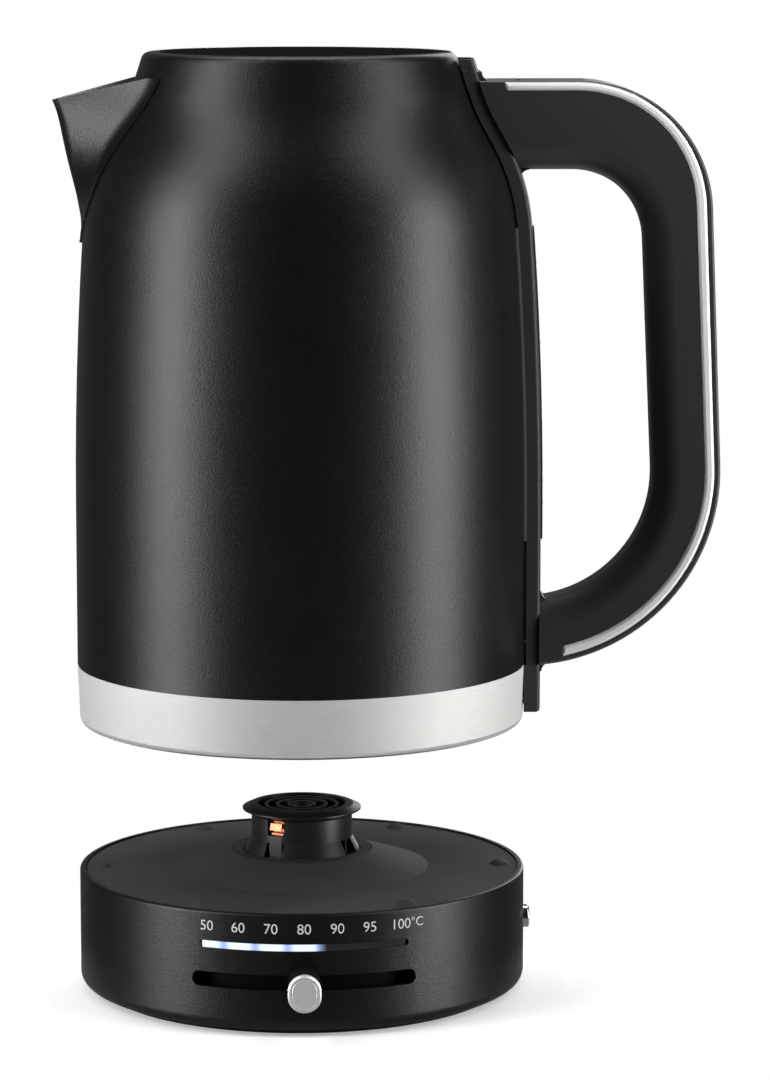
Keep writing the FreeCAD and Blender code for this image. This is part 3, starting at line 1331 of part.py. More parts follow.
def base_shell():
    """Painted wall and sloping deck, with the scale's slots, the button hole and the cord inlet."""
    wall = disc(BASE_R, FOOT_H, BASE_RIM_Z)
    wall = wall.makeFillet(BASE_EDGE_ROUND, [e for e in wall.Edges if on_circle(e, BASE_R, FOOT_H)])
    wall = wall.makeFillet(BASE_RIM_ROUND, [e for e in wall.Edges if on_circle(e, BASE_R, BASE_RIM_Z)])
    room = disc(BASE_INNER_R, FOOT_H + BASE_WALL, BASE_RIM_Z)
    inner_round = BASE_EDGE_ROUND - BASE_WALL
    room = room.makeFillet(inner_round, [e for e in room.Edges if on_circle(e, BASE_INNER_R, FOOT_H + BASE_WALL)])
    wall = wall.cut(room).cut(disc(PLATE_R + PLAY, FOOT_H, BASE_RIM_Z))
    drop = DECK_T
    hole = SKIRT_R + PLAY
    deck = turned([
        (BASE_INNER_R, DECK_Z - drop), (BASE_INNER_R, DECK_Z), (CONE_FOOT_R, DECK_Z),
        (CONE_TOP_R, DECK_Z + CONE_RISE), (hole, DECK_Z + CONE_RISE), (hole, DECK_Z + CONE_RISE - drop),
        (CONE_TOP_R, DECK_Z + CONE_RISE - drop), (CONE_FOOT_R, DECK_Z - drop),
    ])
    shell = wall.fuse(deck)
    for spot in boss_spots():
        height = DECK_Z - DECK_T / 2 - PLATE_TOP
        shell = shell.fuse(Part.makeCylinder(BOSS_R, height, spot + Vector(0, 0, PLATE_TOP)))
        shell = shell.cut(Part.makeCylinder(BASE_SCREW_R, BASE_SCREW_LENGTH, spot + Vector(0, 0, PLATE_TOP)))
    shell = shell.cut(slot_space(BAR_HALF_ANGLE, BAR_Z, BAR_H, GLUE_GAP))
    shell = shell.cut(slot_space(SLOT_HALF_ANGLE, SLOT_Z, SLOT_H, 0))
    shell = shell.cut(Part.makeCylinder(BUTTON_R + PLAY, BASE_R, Vector(BASE_R / 2, 0, BUTTON_Z), OUT))
    cord_hole = Part.makeCylinder(GLAND_R + GLUE_GAP, BASE_R, Vector(0, BASE_R / 2, GLAND_Z), AHEAD)
    return shell.cut(cord_hole).removeSplitter()


def base_pad():
    """Rubbery top pad with the raised cone round the connector."""
    hole = SKIRT_R + PLAY
    pad = turned([
        (PAD_R, DECK_Z), (PAD_R, PAD_Z), (CONE_FOOT_R, PAD_Z), (CONE_TOP_R, CONE_TOP_Z),
        (hole, CONE_TOP_Z), (hole, CONE_TOP_Z - PAD_T), (CONE_TOP_R, CONE_TOP_Z - PAD_T), (CONE_FOOT_R, DECK_Z),
    ])
    return pad


def pad_bumps():
    """Low rubber domes that the jug stands on."""
    dome_r = (BUMP_R ** 2 + BUMP_H ** 2) / (2 * BUMP_H)
    bumps = []
    for angle in spread(BUMPS):
        spot = around(BUMP_PITCH_R, angle, PAD_Z)
        ball = Part.makeSphere(dome_r, spot + Vector(0, 0, BUMP_H - dome_r))
        bumps.append(ball.common(Part.makeCylinder(BUMP_R, BUMP_H, spot)))
    return Part.makeCompound(bumps)


def contact_pocket():
    """The window in the connector's neck where the contact shows."""
    z = NECK_TOP_Z - POCKET_H
    pocket = block((NECK_R - POCKET_DEPTH, SKIRT_R), (-POCKET_HALF_W, POCKET_HALF_W), (z, NECK_TOP_Z))
    return turned_to(pocket, POCKET_ANGLE)


def connector_body():
    """Hollow neck and skirt, held under the deck by its flange; post and fin stand in the notches."""
    deck_under = DECK_Z + CONE_RISE - DECK_T
    flange_low = deck_under - FLANGE_T
    bore = NECK_R - CONNECTOR_WALL - POCKET_DEPTH
    neck = turned([
        (bore, flange_low), (SKIRT_R + FLANGE_GRIP, flange_low), (SKIRT_R + FLANGE_GRIP, deck_under),
        (SKIRT_R, deck_under), (SKIRT_R, CONE_TOP_Z), (NECK_R, SKIRT_TOP_Z), (NECK_R, NECK_TOP_Z), (bore, NECK_TOP_Z),
    ])
    notch = block((NECK_R - NOTCH_DEPTH, SKIRT_R), (-NOTCH_HALF_W, NOTCH_HALF_W), (CONE_TOP_Z, SKIRT_TOP_Z))
    for angle in (POCKET_ANGLE, FIN_ANGLE):
        neck = neck.cut(turned_to(notch, angle))
    neck = neck.cut(contact_pocket())
    post_x = (NECK_R - POCKET_DEPTH, NECK_R)
    post = block(post_x, (-POST_HALF_W, POST_HALF_W), (CONE_TOP_Z, NECK_TOP_Z - POCKET_H))
    fin = block(post_x, (-FIN_HALF_W, FIN_HALF_W), (CONE_TOP_Z, SKIRT_TOP_Z))
    return neck.fuse(turned_to(post, POCKET_ANGLE)).fuse(turned_to(fin, FIN_ANGLE)).removeSplitter()


def connector_cap():
    """Mushroom cap: thin edge, convex slope up to its well, ring grooves for the jug's contacts."""
    edge_z = NECK_TOP_Z + CAP_FLARE
    slope_low = edge_z + CAP_EDGE
    belly = ((CAP_R + WELL_R) / 2, slope_low + CAP_SLOPE_H / 2 + CAP_BELLY)
    cap = turned([
        (0, NECK_TOP_Z), (NECK_R, NECK_TOP_Z), (CAP_R, edge_z), (CAP_R, slope_low), belly,
        (WELL_R, CAP_TOP_Z), (0, CAP_TOP_Z),
    ])
    well_z = CAP_TOP_Z - WELL_DEPTH
    cap = cap.cut(disc(WELL_R, well_z, CAP_TOP_Z))
    for radius in RIDGE_RADII:
        cap = cap.fuse(tube(radius - RIDGE_W / 2, radius + RIDGE_W / 2, well_z, CAP_TOP_Z - RIDGE_DROP))
    hub = disc(PIN_HOLE_R + RIDGE_W, well_z, CAP_TOP_Z - 2 * RIDGE_DROP)
    return cap.fuse(hub).cut(disc(PIN_HOLE_R, NECK_TOP_Z, CAP_TOP_Z)).removeSplitter()


def connector_contacts():
    """Sprung copper contacts: a broad leaf over a thin one, on a strip up the back of the neck's window."""
    z = NECK_TOP_Z - POCKET_H
    x = NECK_R - POCKET_DEPTH
    half = CONTACT_W / 2
    strip = block((x, x + CONTACT_T), (-half, half), (z, NECK_TOP_Z - CONTACT_T))
    leaf = block((0, CONTACT_T), (-half, half), (-CONTACT_H, 0))
    leaf.rotate(Vector(), AHEAD, -CONTACT_LEAN)
    leaf.translate(Vector(NECK_R - 2 * CONTACT_T, 0, NECK_TOP_Z - 2 * CONTACT_T))
    arm = block((x, NECK_R - CONTACT_T), (-half, half), (NECK_TOP_Z - 3 * CONTACT_T, NECK_TOP_Z - 2 * CONTACT_T))
    low = z + CONTACT_T
    thin = block((x, NECK_R), (CONTACT_SHIFT - half, CONTACT_SHIFT + half), (low, low + CONTACT_T))
    return turned_to(strip.fuse(arm).fuse(leaf).fuse(thin).removeSplitter(), POCKET_ANGLE)


def scale_light_guide():
    """Clear curved bar in the upper slot, lit from behind."""
    z = (BAR_Z - BAR_H / 2, BAR_Z + BAR_H / 2)
    return curved_bar(BASE_R - GLUE_GAP - GUIDE_T, BASE_R - GLUE_GAP, z[0], z[1], FRONT, BAR_HALF_ANGLE)


def led_board_r():
    return BASE_R - GLUE_GAP - GUIDE_T - LED_T - GLUE_GAP


def led_board():
    """Curved flexible circuit behind the light guide, on the slider's track."""
    outer = led_board_r()
    low = SLOT_Z + CARRIAGE_H / 2 + PLAY + TRACK_WALL
    half_angle = BAR_HALF_ANGLE + LED_ANGLE_STEP / 2
    return curved_bar(outer - LED_BOARD_T, outer, low, low + LED_BOARD_H, FRONT, half_angle)


def leds():
    """One light for each mark of the scale."""
    lamps = []
    for k in range(LEDS):
        angle = FRONT + (k - (LEDS - 1) / 2) * LED_ANGLE_STEP
        half_angle = math.degrees(LED_W / 2 / BASE_R)
        z = (BAR_Z - LED_H / 2, BAR_Z + LED_H / 2)
        lamps.append(curved_bar(led_board_r(), led_board_r() + LED_T, z[0], z[1], angle, half_angle))
    return Part.makeCompound(lamps)


def slider_track():
    """Curved channel behind the slot that guides the slider."""
    half_angle = SLOT_HALF_ANGLE + CARRIAGE_HALF_ANGLE + TRACK_END_ANGLE
    half_h = CARRIAGE_H / 2 + PLAY
    low = SLOT_Z - half_h
    high = SLOT_Z + half_h
    outer = curved_bar(TRACK_BACK_R, BASE_INNER_R, low - TRACK_WALL, high + TRACK_WALL, FRONT, half_angle)
    return outer.cut(curved_bar(TRACK_BACK_R + TRACK_WALL, BASE_R, low, high, FRONT, half_angle + TRACK_END_ANGLE))


def slider_carriage():
    """Curved shoe in the track with the neck that passes the slot."""
    low = SLOT_Z - CARRIAGE_H / 2
    shoe = curved_bar(CARRIAGE_R - CARRIAGE_T, CARRIAGE_R, low, low + CARRIAGE_H, FRONT, CARRIAGE_HALF_ANGLE)
    height = SLOT_H - 2 * PLAY
    half = KNOB_NECK_W / 2
    z = (SLOT_Z - height / 2, SLOT_Z + height / 2)
    neck = block((-half, half), (-KNOB_BACK_R, -CARRIAGE_R + CARRIAGE_T / 2), z)
    return shoe.fuse(neck).removeSplitter()


def slider_knob():
    """Dark stem of the knob, outside the wall."""
    inset = 2 * KNOB_STEM_INSET
    return stadium(KNOB_W - inset, KNOB_H - inset, CAP_PLATE_T - KNOB_FACE_R, -KNOB_BACK_R, SLOT_Z)


def slider_cap():
    """Steel face of the knob with a bevelled edge."""
    plate = stadium(KNOB_W, KNOB_H, -KNOB_FACE_R, CAP_PLATE_T - KNOB_FACE_R, SLOT_Z)
    face = [e for e in plate.Edges if abs(e.CenterOfMass.y + KNOB_FACE_R) < 0.01]
    return plate.makeChamfer(CAP_PLATE_BEVEL, face)


def start_button():
    """Round push button in the side wall, kept in by a lip."""
    lip_x = BASE_INNER_R - BUTTON_LIP_T - 2 * PLAY
    stem = Part.makeCylinder(BUTTON_R, BASE_R + BUTTON_PROUD - lip_x, Vector(lip_x, 0, BUTTON_Z), OUT)
    edge = [e for e in stem.Edges if abs(e.CenterOfMass.x - BASE_R - BUTTON_PROUD) < 0.01 and len(e.Vertexes) == 1]
    stem = stem.makeFillet(BUTTON_PROUD / 3, edge)
    lip = Part.makeCylinder(BUTTON_R + BUTTON_LIP, BUTTON_LIP_T, Vector(lip_x, 0, BUTTON_Z), OUT)
    return stem.fuse(lip).removeSplitter()


def start_switch():
    """Small switch on a post behind the start button."""
    tip = BASE_INNER_R - BUTTON_LIP_T - 2 * PLAY - BUTTON_TRAVEL - PLAY
    body_x = tip - BUTTON_TRAVEL
    half = SWITCH_W / 2
    body = block((body_x - SWITCH_T, body_x), (-half, half), (PLATE_TOP, BUTTON_Z + half))
    return body.fuse(Part.makeCylinder(PLUNGER_R, BUTTON_TRAVEL, Vector(body_x, 0, BUTTON_Z), OUT)).removeSplitter()


def board_post_spots():
    x = BOARD_X / 2 - 2 * BOARD_POST_R
    y = BOARD_Y / 2 - 2 * BOARD_POST_R
    return [Vector(sx * x, BOARD_CENTRE_Y + sy * y, PLATE_TOP) for sx in (-1, 1) for sy in (-1, 1)]


def base_plate():
    """Moulded underside with posts for the circuit board and counterbored screw holes."""
    plate = disc(PLATE_R, FOOT_H, PLATE_TOP)
    for spot in board_post_spots():
        plate = plate.fuse(Part.makeCylinder(BOARD_POST_R, BOARD_POST_H, spot))
    for spot in boss_spots():
        plate = plate.cut(Part.makeCylinder(BASE_SCREW_R, PLATE_TOP, spot))
        head = Part.makeCylinder(BASE_SCREW_HEAD_R, BASE_SCREW_HEAD_H, spot + Vector(0, 0, FOOT_H))
        plate = plate.cut(head)
    return plate.removeSplitter()


def base_screws():
    """Screws up through the plate into the shell's bosses."""
    screws = []
    for spot in boss_spots():
        shank_low = FOOT_H + BASE_SCREW_HEAD_H
        length = BASE_SCREW_LENGTH + PLATE_T - BASE_SCREW_HEAD_H - PLAY
        shank = Part.makeCylinder(BASE_SCREW_R - PIN_PLAY, length, spot + Vector(0, 0, shank_low))
        head = Part.makeCylinder(BASE_SCREW_HEAD_R - PIN_PLAY, BASE_SCREW_HEAD_H, spot + Vector(0, 0, FOOT_H))
        screws.append(shank.fuse(head).removeSplitter())
    return Part.makeCompound(screws)


def foot_ring():
    """Rubber ring that the base stands on."""
    return tube(FOOT_R_IN, FOOT_R_OUT, 0, FOOT_H)


def power_board():
    """Circuit board on the plate's posts."""
    low = PLATE_TOP + BOARD_POST_H
    x = BOARD_X / 2
    y = BOARD_Y / 2
    return block((-x, x), (BOARD_CENTRE_Y - y, BOARD_CENTRE_Y + y), (low, low + BOARD_T))


def board_parts():
    """Relay, transformer, capacitor and terminals standing on the board."""
    top = PLATE_TOP + BOARD_POST_H + BOARD_T
    y = BOARD_CENTRE_Y

    def part(x, middle, width, height):
        half = width / 2
        return block((x - half, x + half), (middle - half, middle + half), (top, top + height))

    relay = part(RELAY_X, y, RELAY_W, RELAY_H)
    transformer = part(0, y, TRANSFORMER_W, TRANSFORMER_H)
    capacitor = Part.makeCylinder(CAPACITOR_R, CAPACITOR_H, Vector(CAPACITOR_X, y, top))
    back = y + BOARD_Y / 2 - TERMINAL_W
    spots = [(k - (TERMINALS - 1) / 2) * TERMINAL_STEP for k in range(TERMINALS)]
    terminals = [part(x, back, TERMINAL_W, TERMINAL_H) for x in spots]
    return Part.makeCompound([relay, transformer, capacitor] + terminals)


def cord_gland():
    """Rubber grommet at the back wall where the mains lead enters."""
    start = BASE_INNER_R - GLAND_INSIDE
    length = GLAND_INSIDE + BASE_WALL + GLAND_LIP_T
    body = Part.makeCylinder(GLAND_R, length, Vector(0, start, GLAND_Z), AHEAD)
    lip = Part.makeCylinder(GLAND_R + GLAND_LIP, GLAND_LIP_T, Vector(0, BASE_R, GLAND_Z), AHEAD)
    lip = lip.cut(disc(BASE_R, 0, BASE_RIM_Z))
    bore = Part.makeCylinder(CORD_BORE_R, 2 * length, Vector(0, start, GLAND_Z), AHEAD)
    return body.fuse(lip).cut(bore).removeSplitter()


JUG_PIECES = {
    "jug_body": jug_body,
    "jug_neck": jug_neck,
    "spout": spout,
    "mouth_collar": mouth_collar,
    "filter_frame": filter_frame,
    "filter_mesh": filter_mesh,
    "base_band": base_band,
    "bottom_cover": bottom_cover,
    "recess_cone": recess_cone,
    "bottom_cover_screws": cover_screws,
    "jug_socket": jug_socket,
    "socket_contacts": socket_contacts,
    "control_block": control_block,
    "heater_plate": heater_plate,
    "heat_spreader": heat_spreader,
    "heating_element": heating_element,
    "bimetal_discs": bimetal_discs,
    "temperature_probe": temperature_probe,
    "probe_seal": probe_seal,
    "handle_strip": handle_strip,
    "hinge_cover": hinge_cover,
    "gauge_window": gauge_window,
    "gauge_seal": gauge_seal,
    "handle_grip": handle_grip,
    "handle_trim": handle_trim,
    "handle_back_cover": handle_back_cover,
    "handle_screws": handle_screws,
    "hinge_pin": hinge_pin,
    "lid_spring": lid_spring,
    "button_spring": button_spring,
    "lid_cap": lid_cap,
    "lid_liner": lid_liner,
    "lid_seal": lid_seal,
    "lid_screws": lid_screws,
    "lid_release_button": lid_release_button,
    "latch_slide": latch_slide,
}

BASE_PIECES = {
    "base_shell": base_shell,
    "base_pad": base_pad,
    "pad_bumps": pad_bumps,
    "connector_body": connector_body,
    "connector_cap": connector_cap,
    "connector_contacts": connector_contacts,
    "scale_light_guide": scale_light_guide,
    "led_board": led_board,
    "leds": leds,
    "slider_track": slider_track,
    "slider_carriage": slider_carriage,
    "slider_knob": slider_knob,
    "slider_cap": slider_cap,
    "start_button": start_button,
    "start_switch": start_switch,
    "base_plate": base_plate,
    "base_screws": base_screws,
    "foot_ring": foot_ring,
    "power_board": power_board,
    "board_parts": board_parts,
    "cord_gland": cord_gland,
}

os.makedirs("parts", exist_ok=True)
for name, make in JUG_PIECES.items():
    piece = make()
    piece.translate(Vector(0, 0, JUG_Z))
    piece.exportStep("parts/" + name + ".step")
for name, make in BASE_PIECES.items():
    make().exportStep("parts/" + name + ".step")
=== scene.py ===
import json
import math

import bmesh
import bpy
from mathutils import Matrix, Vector

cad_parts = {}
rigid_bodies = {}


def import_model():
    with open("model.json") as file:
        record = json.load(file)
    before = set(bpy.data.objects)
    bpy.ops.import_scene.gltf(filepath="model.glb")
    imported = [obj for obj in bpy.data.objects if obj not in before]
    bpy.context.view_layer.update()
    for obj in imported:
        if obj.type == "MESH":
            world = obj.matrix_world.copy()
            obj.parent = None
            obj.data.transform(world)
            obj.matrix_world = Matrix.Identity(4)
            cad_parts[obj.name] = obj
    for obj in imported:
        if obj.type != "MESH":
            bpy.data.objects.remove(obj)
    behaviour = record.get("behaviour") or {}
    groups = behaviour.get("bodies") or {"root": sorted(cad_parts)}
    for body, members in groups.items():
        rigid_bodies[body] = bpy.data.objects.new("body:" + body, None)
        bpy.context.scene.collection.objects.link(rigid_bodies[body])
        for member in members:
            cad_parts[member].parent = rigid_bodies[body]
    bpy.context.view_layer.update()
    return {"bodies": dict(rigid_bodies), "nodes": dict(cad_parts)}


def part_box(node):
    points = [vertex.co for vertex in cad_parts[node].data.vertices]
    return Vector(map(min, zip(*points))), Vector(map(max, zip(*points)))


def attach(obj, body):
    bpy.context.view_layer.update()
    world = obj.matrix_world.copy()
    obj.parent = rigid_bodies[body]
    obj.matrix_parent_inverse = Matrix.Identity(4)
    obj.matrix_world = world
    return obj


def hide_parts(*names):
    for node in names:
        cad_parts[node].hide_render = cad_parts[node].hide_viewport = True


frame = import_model()
nodes = frame["nodes"]


# Jug wall, neck and spout: pressed sheet steel with a rolled rim, powder coated outside in satin black.
# The spout is joined over its opening in the wall, and the inside is left bare and brushed,
# so one finish covers all three and turns to steel where a face looks at the axis.

PAINT_BLACK = (0.0026, 0.0026, 0.0027)
PAINT_GLOSS = 0.36
PAINT_GRAIN = 1500.0
PAINT_GRAIN_DEPTH = 0.00012
PAINT_CLOUDS = 55.0
PAINT_ROUGH = 0.22
PAINT_ROUGH_GRAIN = 0.18
PAINT_ROUGH_CLOUD = 0.06
FLECK_TONE = 3.2
FLECK_FROM, FLECK_TO = 0.62, 0.74
BARE_STEEL = (0.56, 0.555, 0.545)
STEEL_ROUGH = 0.24
INSIDE_BRUSHING = (60.0, 60.0, 2600.0)
INSIDE_ROUGH_LINES = 0.16
INWARD_FULL, INWARD_NONE = -0.35, -0.25


class Shade:
    """One shader socket: arithmetic adds Math nodes, and node() adds any other node to the same tree."""

    def __init__(self, tree, socket=None):
        self.tree = tree
        self.socket = socket

    def node(self, kind, settings, sockets, out=0):
        """A new node: its settings first, then a value or a link for each socket."""
        made = self.tree.nodes.new(kind if "Node" in kind else "ShaderNode" + kind)
        for name, value in settings.items():
            setattr(made, name, value)
        for key, value in sockets.items():
            if isinstance(value, Shade):
                self.tree.links.new(value.socket, made.inputs[key])
            else:
                made.inputs[key].default_value = value
        return Shade(self.tree, made.outputs[out])

    def math(self, operation, a, b=0.0):
        return self.node("Math", {"operation": operation}, {0: a, 1: b})

    def __add__(self, other):
        return self.math("ADD", self, other)

    def __mul__(self, other):
        return self.math("MULTIPLY", self, other)

    def __sub__(self, other):
        return self.math("SUBTRACT", self, other)

    def __truediv__(self, other):
        return self.math("DIVIDE", self, other)

    def __radd__(self, other):
        return self.math("ADD", other, self)

    def __rmul__(self, other):
        return self.math("MULTIPLY", other, self)

    def __rsub__(self, other):
        return self.math("SUBTRACT", other, self)

    def __rtruediv__(self, other):
        return self.math("DIVIDE", other, self)

    def step(self, low, high):
        """0 below low, 1 above high, smooth between."""
        sockets = {"Value": self, "From Min": low, "From Max": high}
        return self.node("MapRange", {"interpolation_type": "SMOOTHSTEP"}, sockets)

    def pick(self, colour_a, colour_b):
        """Colour a where this value is 0, colour b where it is 1, by the Mix node's colour sockets."""
        colours = [c if isinstance(c, Shade) else (*c, 1.0) for c in (colour_a, colour_b)]
        return self.node("Mix", {"data_type": "RGBA"}, {0: self, 6: colours[0], 7: colours[1]}, out=2)


def finish(name, **constants):
    """A new material, its tree as a Shade and its shader node; constants are set on the shader's sockets."""
    material = bpy.data.materials.new(name)
    material.use_nodes = True
    shader = material.node_tree.nodes["Principled BSDF"]
    for key, value in constants.items():
        shader.inputs[key.replace("_", " ").title().replace("Ior", "IOR")].default_value = value
    return material, Shade(material.node_tree), shader


def feed(shader, **values):
    """Links shader values to the shader's sockets."""
    for key, value in values.items():
        value.tree.links.new(value.socket, shader.inputs[key.replace("_", " ").title()])


def place(shade):
    """Object coordinates in metres, whole and split in three."""
    where = shade.node("TexCoord", {}, {}, out="Object")
    return where, [shade.node("SeparateXYZ", {}, {0: where}, out=k) for k in range(3)]


def noise(shade, where, scale, detail=2.0, roughness=0.5):
    """Fractal noise on a set of coordinates; scale is cycles in a metre."""
    sockets = {"Vector": where, "Scale": scale, "Detail": detail, "Roughness": roughness}
    return shade.node("TexNoise", {}, sockets)


def drawn_noise(shade, where, scales, detail=3.0, roughness=0.5):
    """Noise drawn out into lines: a scale for each axis."""
    stretched = shade.node("Mapping", {}, {"Vector": where, "Scale": scales})
    return noise(shade, stretched, 1.0, detail, roughness)


def bump(shade, height, depth, strength=1.0):
    """A normal from a height from 0 to 1 that stands for a depth in metres."""
    return shade.node("Bump", {}, {"Strength": strength, "Distance": depth, "Height": height})


def toned(colour, share):
    """A colour made lighter or darker by a share."""
    return tuple(share * c for c in colour)


def coat(material, *names):
    """Gives CAD nodes a finish."""
    for name in names:
        nodes[name].data.materials.clear()
        nodes[name].data.materials.append(material)


def facing_axis(shade):
    """1 where a face looks at the kettle's axis, 0 where it looks outwards or up."""
    _, (x, y, _) = place(shade)
    normal = shade.node("NewGeometry", {}, {}, out="Normal")
    flat = shade.node("CombineXYZ", {}, {0: x, 1: y, 2: 0.0})
    outward = shade.node("VectorMath", {"operation": "NORMALIZE"}, {0: flat})
    along = shade.node("VectorMath", {"operation": "DOT_PRODUCT"}, {0: normal, 1: outward}, out="Value")
    return 1.0 - along.step(INWARD_FULL, INWARD_NONE)


def satin_paint(name, bare_inside):
    """Satin black coating with the fine orange-peel grain of powder paint."""
    material, shade, shader = finish(name, specular_ior_level=PAINT_GLOSS)
    where, _ = place(shade)
    grain = noise(shade, where, PAINT_GRAIN, detail=3.0, roughness=0.7)
    cloud = noise(shade, where, PAINT_CLOUDS, detail=3.0)
    rough = PAINT_ROUGH + PAINT_ROUGH_GRAIN * grain + PAINT_ROUGH_CLOUD * cloud
    flecks = grain.step(FLECK_FROM, FLECK_TO)
    colour = flecks.pick(PAINT_BLACK, toned(PAINT_BLACK, FLECK_TONE))
    if bare_inside:
        inside = facing_axis(shade)
        lines = drawn_noise(shade, where, INSIDE_BRUSHING)
        colour = inside.pick(colour, BARE_STEEL)
        brushed = STEEL_ROUGH + INSIDE_ROUGH_LINES * lines
        rough = rough * (1.0 - inside) + brushed * inside
        feed(shader, metallic=inside)
    normal = bump(shade, grain, PAINT_GRAIN_DEPTH, strength=0.8)
    feed(shader, base_color=colour, roughness=rough, normal=normal)
    return material


coat(satin_paint("satin_black_jug", bare_inside=True), "jug_body", "jug_neck", "spout")


# Neck collar, filter frame, lid plug and the mouldings under the jug and inside the base: dark
# heat-resistant nylon, injection moulded with a spark-eroded grain, and snapped or screwed in.
# They show through the open lid or from below.

NYLON_GREY = (0.035, 0.035, 0.036)
HANDLING_SHEEN = 28.0
GRAIN_DARK, GRAIN_LIGHT = 0.8, 1.25
PLASTIC_ROUGH_LESS = 0.05
PLASTIC_ROUGH_GRAIN = 0.08
PLASTIC_ROUGH_SHEEN = 0.08


def grained_plastic(name, colour, roughness, grain_scale, depth, gloss=0.3):
    """Moulded plastic with a fine eroded grain and a faint handling sheen."""
    material, shade, shader = finish(name, specular_ior_level=gloss)
    where, _ = place(shade)
    grain = noise(shade, where, grain_scale, detail=3.0, roughness=0.6)
    sheen = noise(shade, where, HANDLING_SHEEN)
    tone = grain.pick(toned(colour, GRAIN_DARK), toned(colour, GRAIN_LIGHT))
    rough = roughness - PLASTIC_ROUGH_LESS + PLASTIC_ROUGH_GRAIN * grain + PLASTIC_ROUGH_SHEEN * sheen
    feed(shader, base_color=tone, roughness=rough, normal=bump(shade, grain, depth, strength=0.5))
    return material


inner_nylon = grained_plastic("inner_nylon", NYLON_GREY, roughness=0.5, grain_scale=2600.0, depth=0.00004)
coat(inner_nylon, "mouth_collar", "filter_frame", "bottom_cover", "recess_cone", "jug_socket")
coat(inner_nylon, "control_block", "lid_liner", "latch_slide", "start_switch", "base_plate", "board_parts")


# Metal pieces inside: floor plate, probe, filter sheet, pins, springs and screws, all rolled or drawn steel.
# The element's sheath is steel too, heat-stained brown, and is brazed to a cast aluminium disc
# under the floor plate.

STEEL_STAIN = (0.5, 0.495, 0.49)
SHEATH_BROWN = (0.3, 0.28, 0.26)
SHEATH_STAIN = (0.2, 0.15, 0.11)
CAST_GREY = (0.7, 0.7, 0.71)
CAST_STAIN = (0.6, 0.6, 0.61)
ROLLING_MARKS = (900.0, 90.0, 900.0)
ROLLING_DEPTH = 0.00001
ROLLING_ROUGH = 0.14
STAIN_CLOUDS = 60.0
STAIN_FROM, STAIN_TO = 0.35, 0.75


def plain_metal(name, colour, roughness, stain):
    """Plain sheet or drawn metal with soft rolling marks and a stain towards another colour."""
    material, shade, shader = finish(name, metallic=1.0)
    where, _ = place(shade)
    marks = drawn_noise(shade, where, ROLLING_MARKS)
    cloud = noise(shade, where, STAIN_CLOUDS, detail=3.0).step(STAIN_FROM, STAIN_TO)
    feed(shader, base_color=cloud.pick(colour, stain), roughness=roughness + ROLLING_ROUGH * marks)
    feed(shader, normal=bump(shade, marks, ROLLING_DEPTH, strength=0.3))
    return material


plain_steel = plain_metal("plain_steel", BARE_STEEL, roughness=STEEL_ROUGH, stain=STEEL_STAIN)
coat(plain_steel, "heater_plate", "filter_mesh", "temperature_probe", "handle_screws", "hinge_pin")
coat(plain_steel, "lid_spring", "button_spring", "lid_screws", "bimetal_discs")
coat(plain_metal("heat_stained_steel", SHEATH_BROWN, roughness=0.36, stain=SHEATH_STAIN), "heating_element")
coat(plain_metal("cast_aluminium", CAST_GREY, roughness=0.38, stain=CAST_STAIN), "heat_spreader")


# Screws from below, three under the jug and four under the base: plated steel with a cross recess
# in a flat head. A ring of points carries one screw each, driven up into the bosses.

JUG_SCREWS = {
    "count": 3, "ring_r": 0.0615, "first": math.radians(30.0),
    "head_r": 0.00276, "head_h": 0.0014, "shank_r": 0.00146,
}
BASE_SCREWS = {
    "count": 4, "ring_r": 0.055, "first": math.radians(45.0),
    "head_r": 0.00316, "head_h": 0.0012, "shank_r": 0.00156,
}
SCREW_SETS = (("bottom_cover_screws", "jug", JUG_SCREWS), ("base_screws", "power_base", BASE_SCREWS))
HEAD_SIDES = 32
SHANK_SIDES = 20
CROSS_LONG = 1.1
CROSS_WIDE = 0.26
CROSS_SUNK = 0.45


def stand(name, data):
    """A new object in the scene, at the origin."""
    thing = bpy.data.objects.new(name, data)
    bpy.context.scene.collection.objects.link(thing)
    return thing


def plain_mesh(thing):
    """What an object's modifiers or its text make, as a plain mesh."""
    bpy.context.view_layer.update()
    return bpy.data.meshes.new_from_object(thing.evaluated_get(bpy.context.evaluated_depsgraph_get()))


def sized_tree(name, *sizes):
    """A new Geometry Nodes tree with a number input for each size, as a Shade, and the inputs in order."""
    group = bpy.data.node_groups.new(name, "GeometryNodeTree")
    group.interface.new_socket("Geometry", in_out="OUTPUT", socket_type="NodeSocketGeometry")
    for size in sizes:
        group.interface.new_socket(size, in_out="INPUT", socket_type="NodeSocketFloat")
    entry = group.nodes.new("NodeGroupInput")
    return Shade(group), [Shade(group, entry.outputs[size]) for size in sizes]


def finished_tree(grown, material):
    """Ends a tree in plain geometry with a material."""
    plain = grown.node("GeometryNodeRealizeInstances", {}, {0: grown})
    dressed = grown.node("GeometryNodeSetMaterial", {}, {"Geometry": plain, "Material": material})
    leave = grown.tree.nodes.new("NodeGroupOutput")
    grown.tree.links.new(dressed.socket, leave.inputs[0])
    return grown.tree


def grow(name, tree, **values):
    """A plain mesh object from a tree and the values of its inputs."""
    piece = stand(name, bpy.data.meshes.new(name + "_start"))
    modifier = piece.modifiers.new(name, "NODES")
    modifier.node_group = tree
    for item in tree.interface.items_tree:
        if item.in_out == "INPUT":
            modifier[item.identifier] = values[item.name]
    mesh = plain_mesh(piece)
    piece.modifiers.clear()
    piece.data = mesh
    return piece


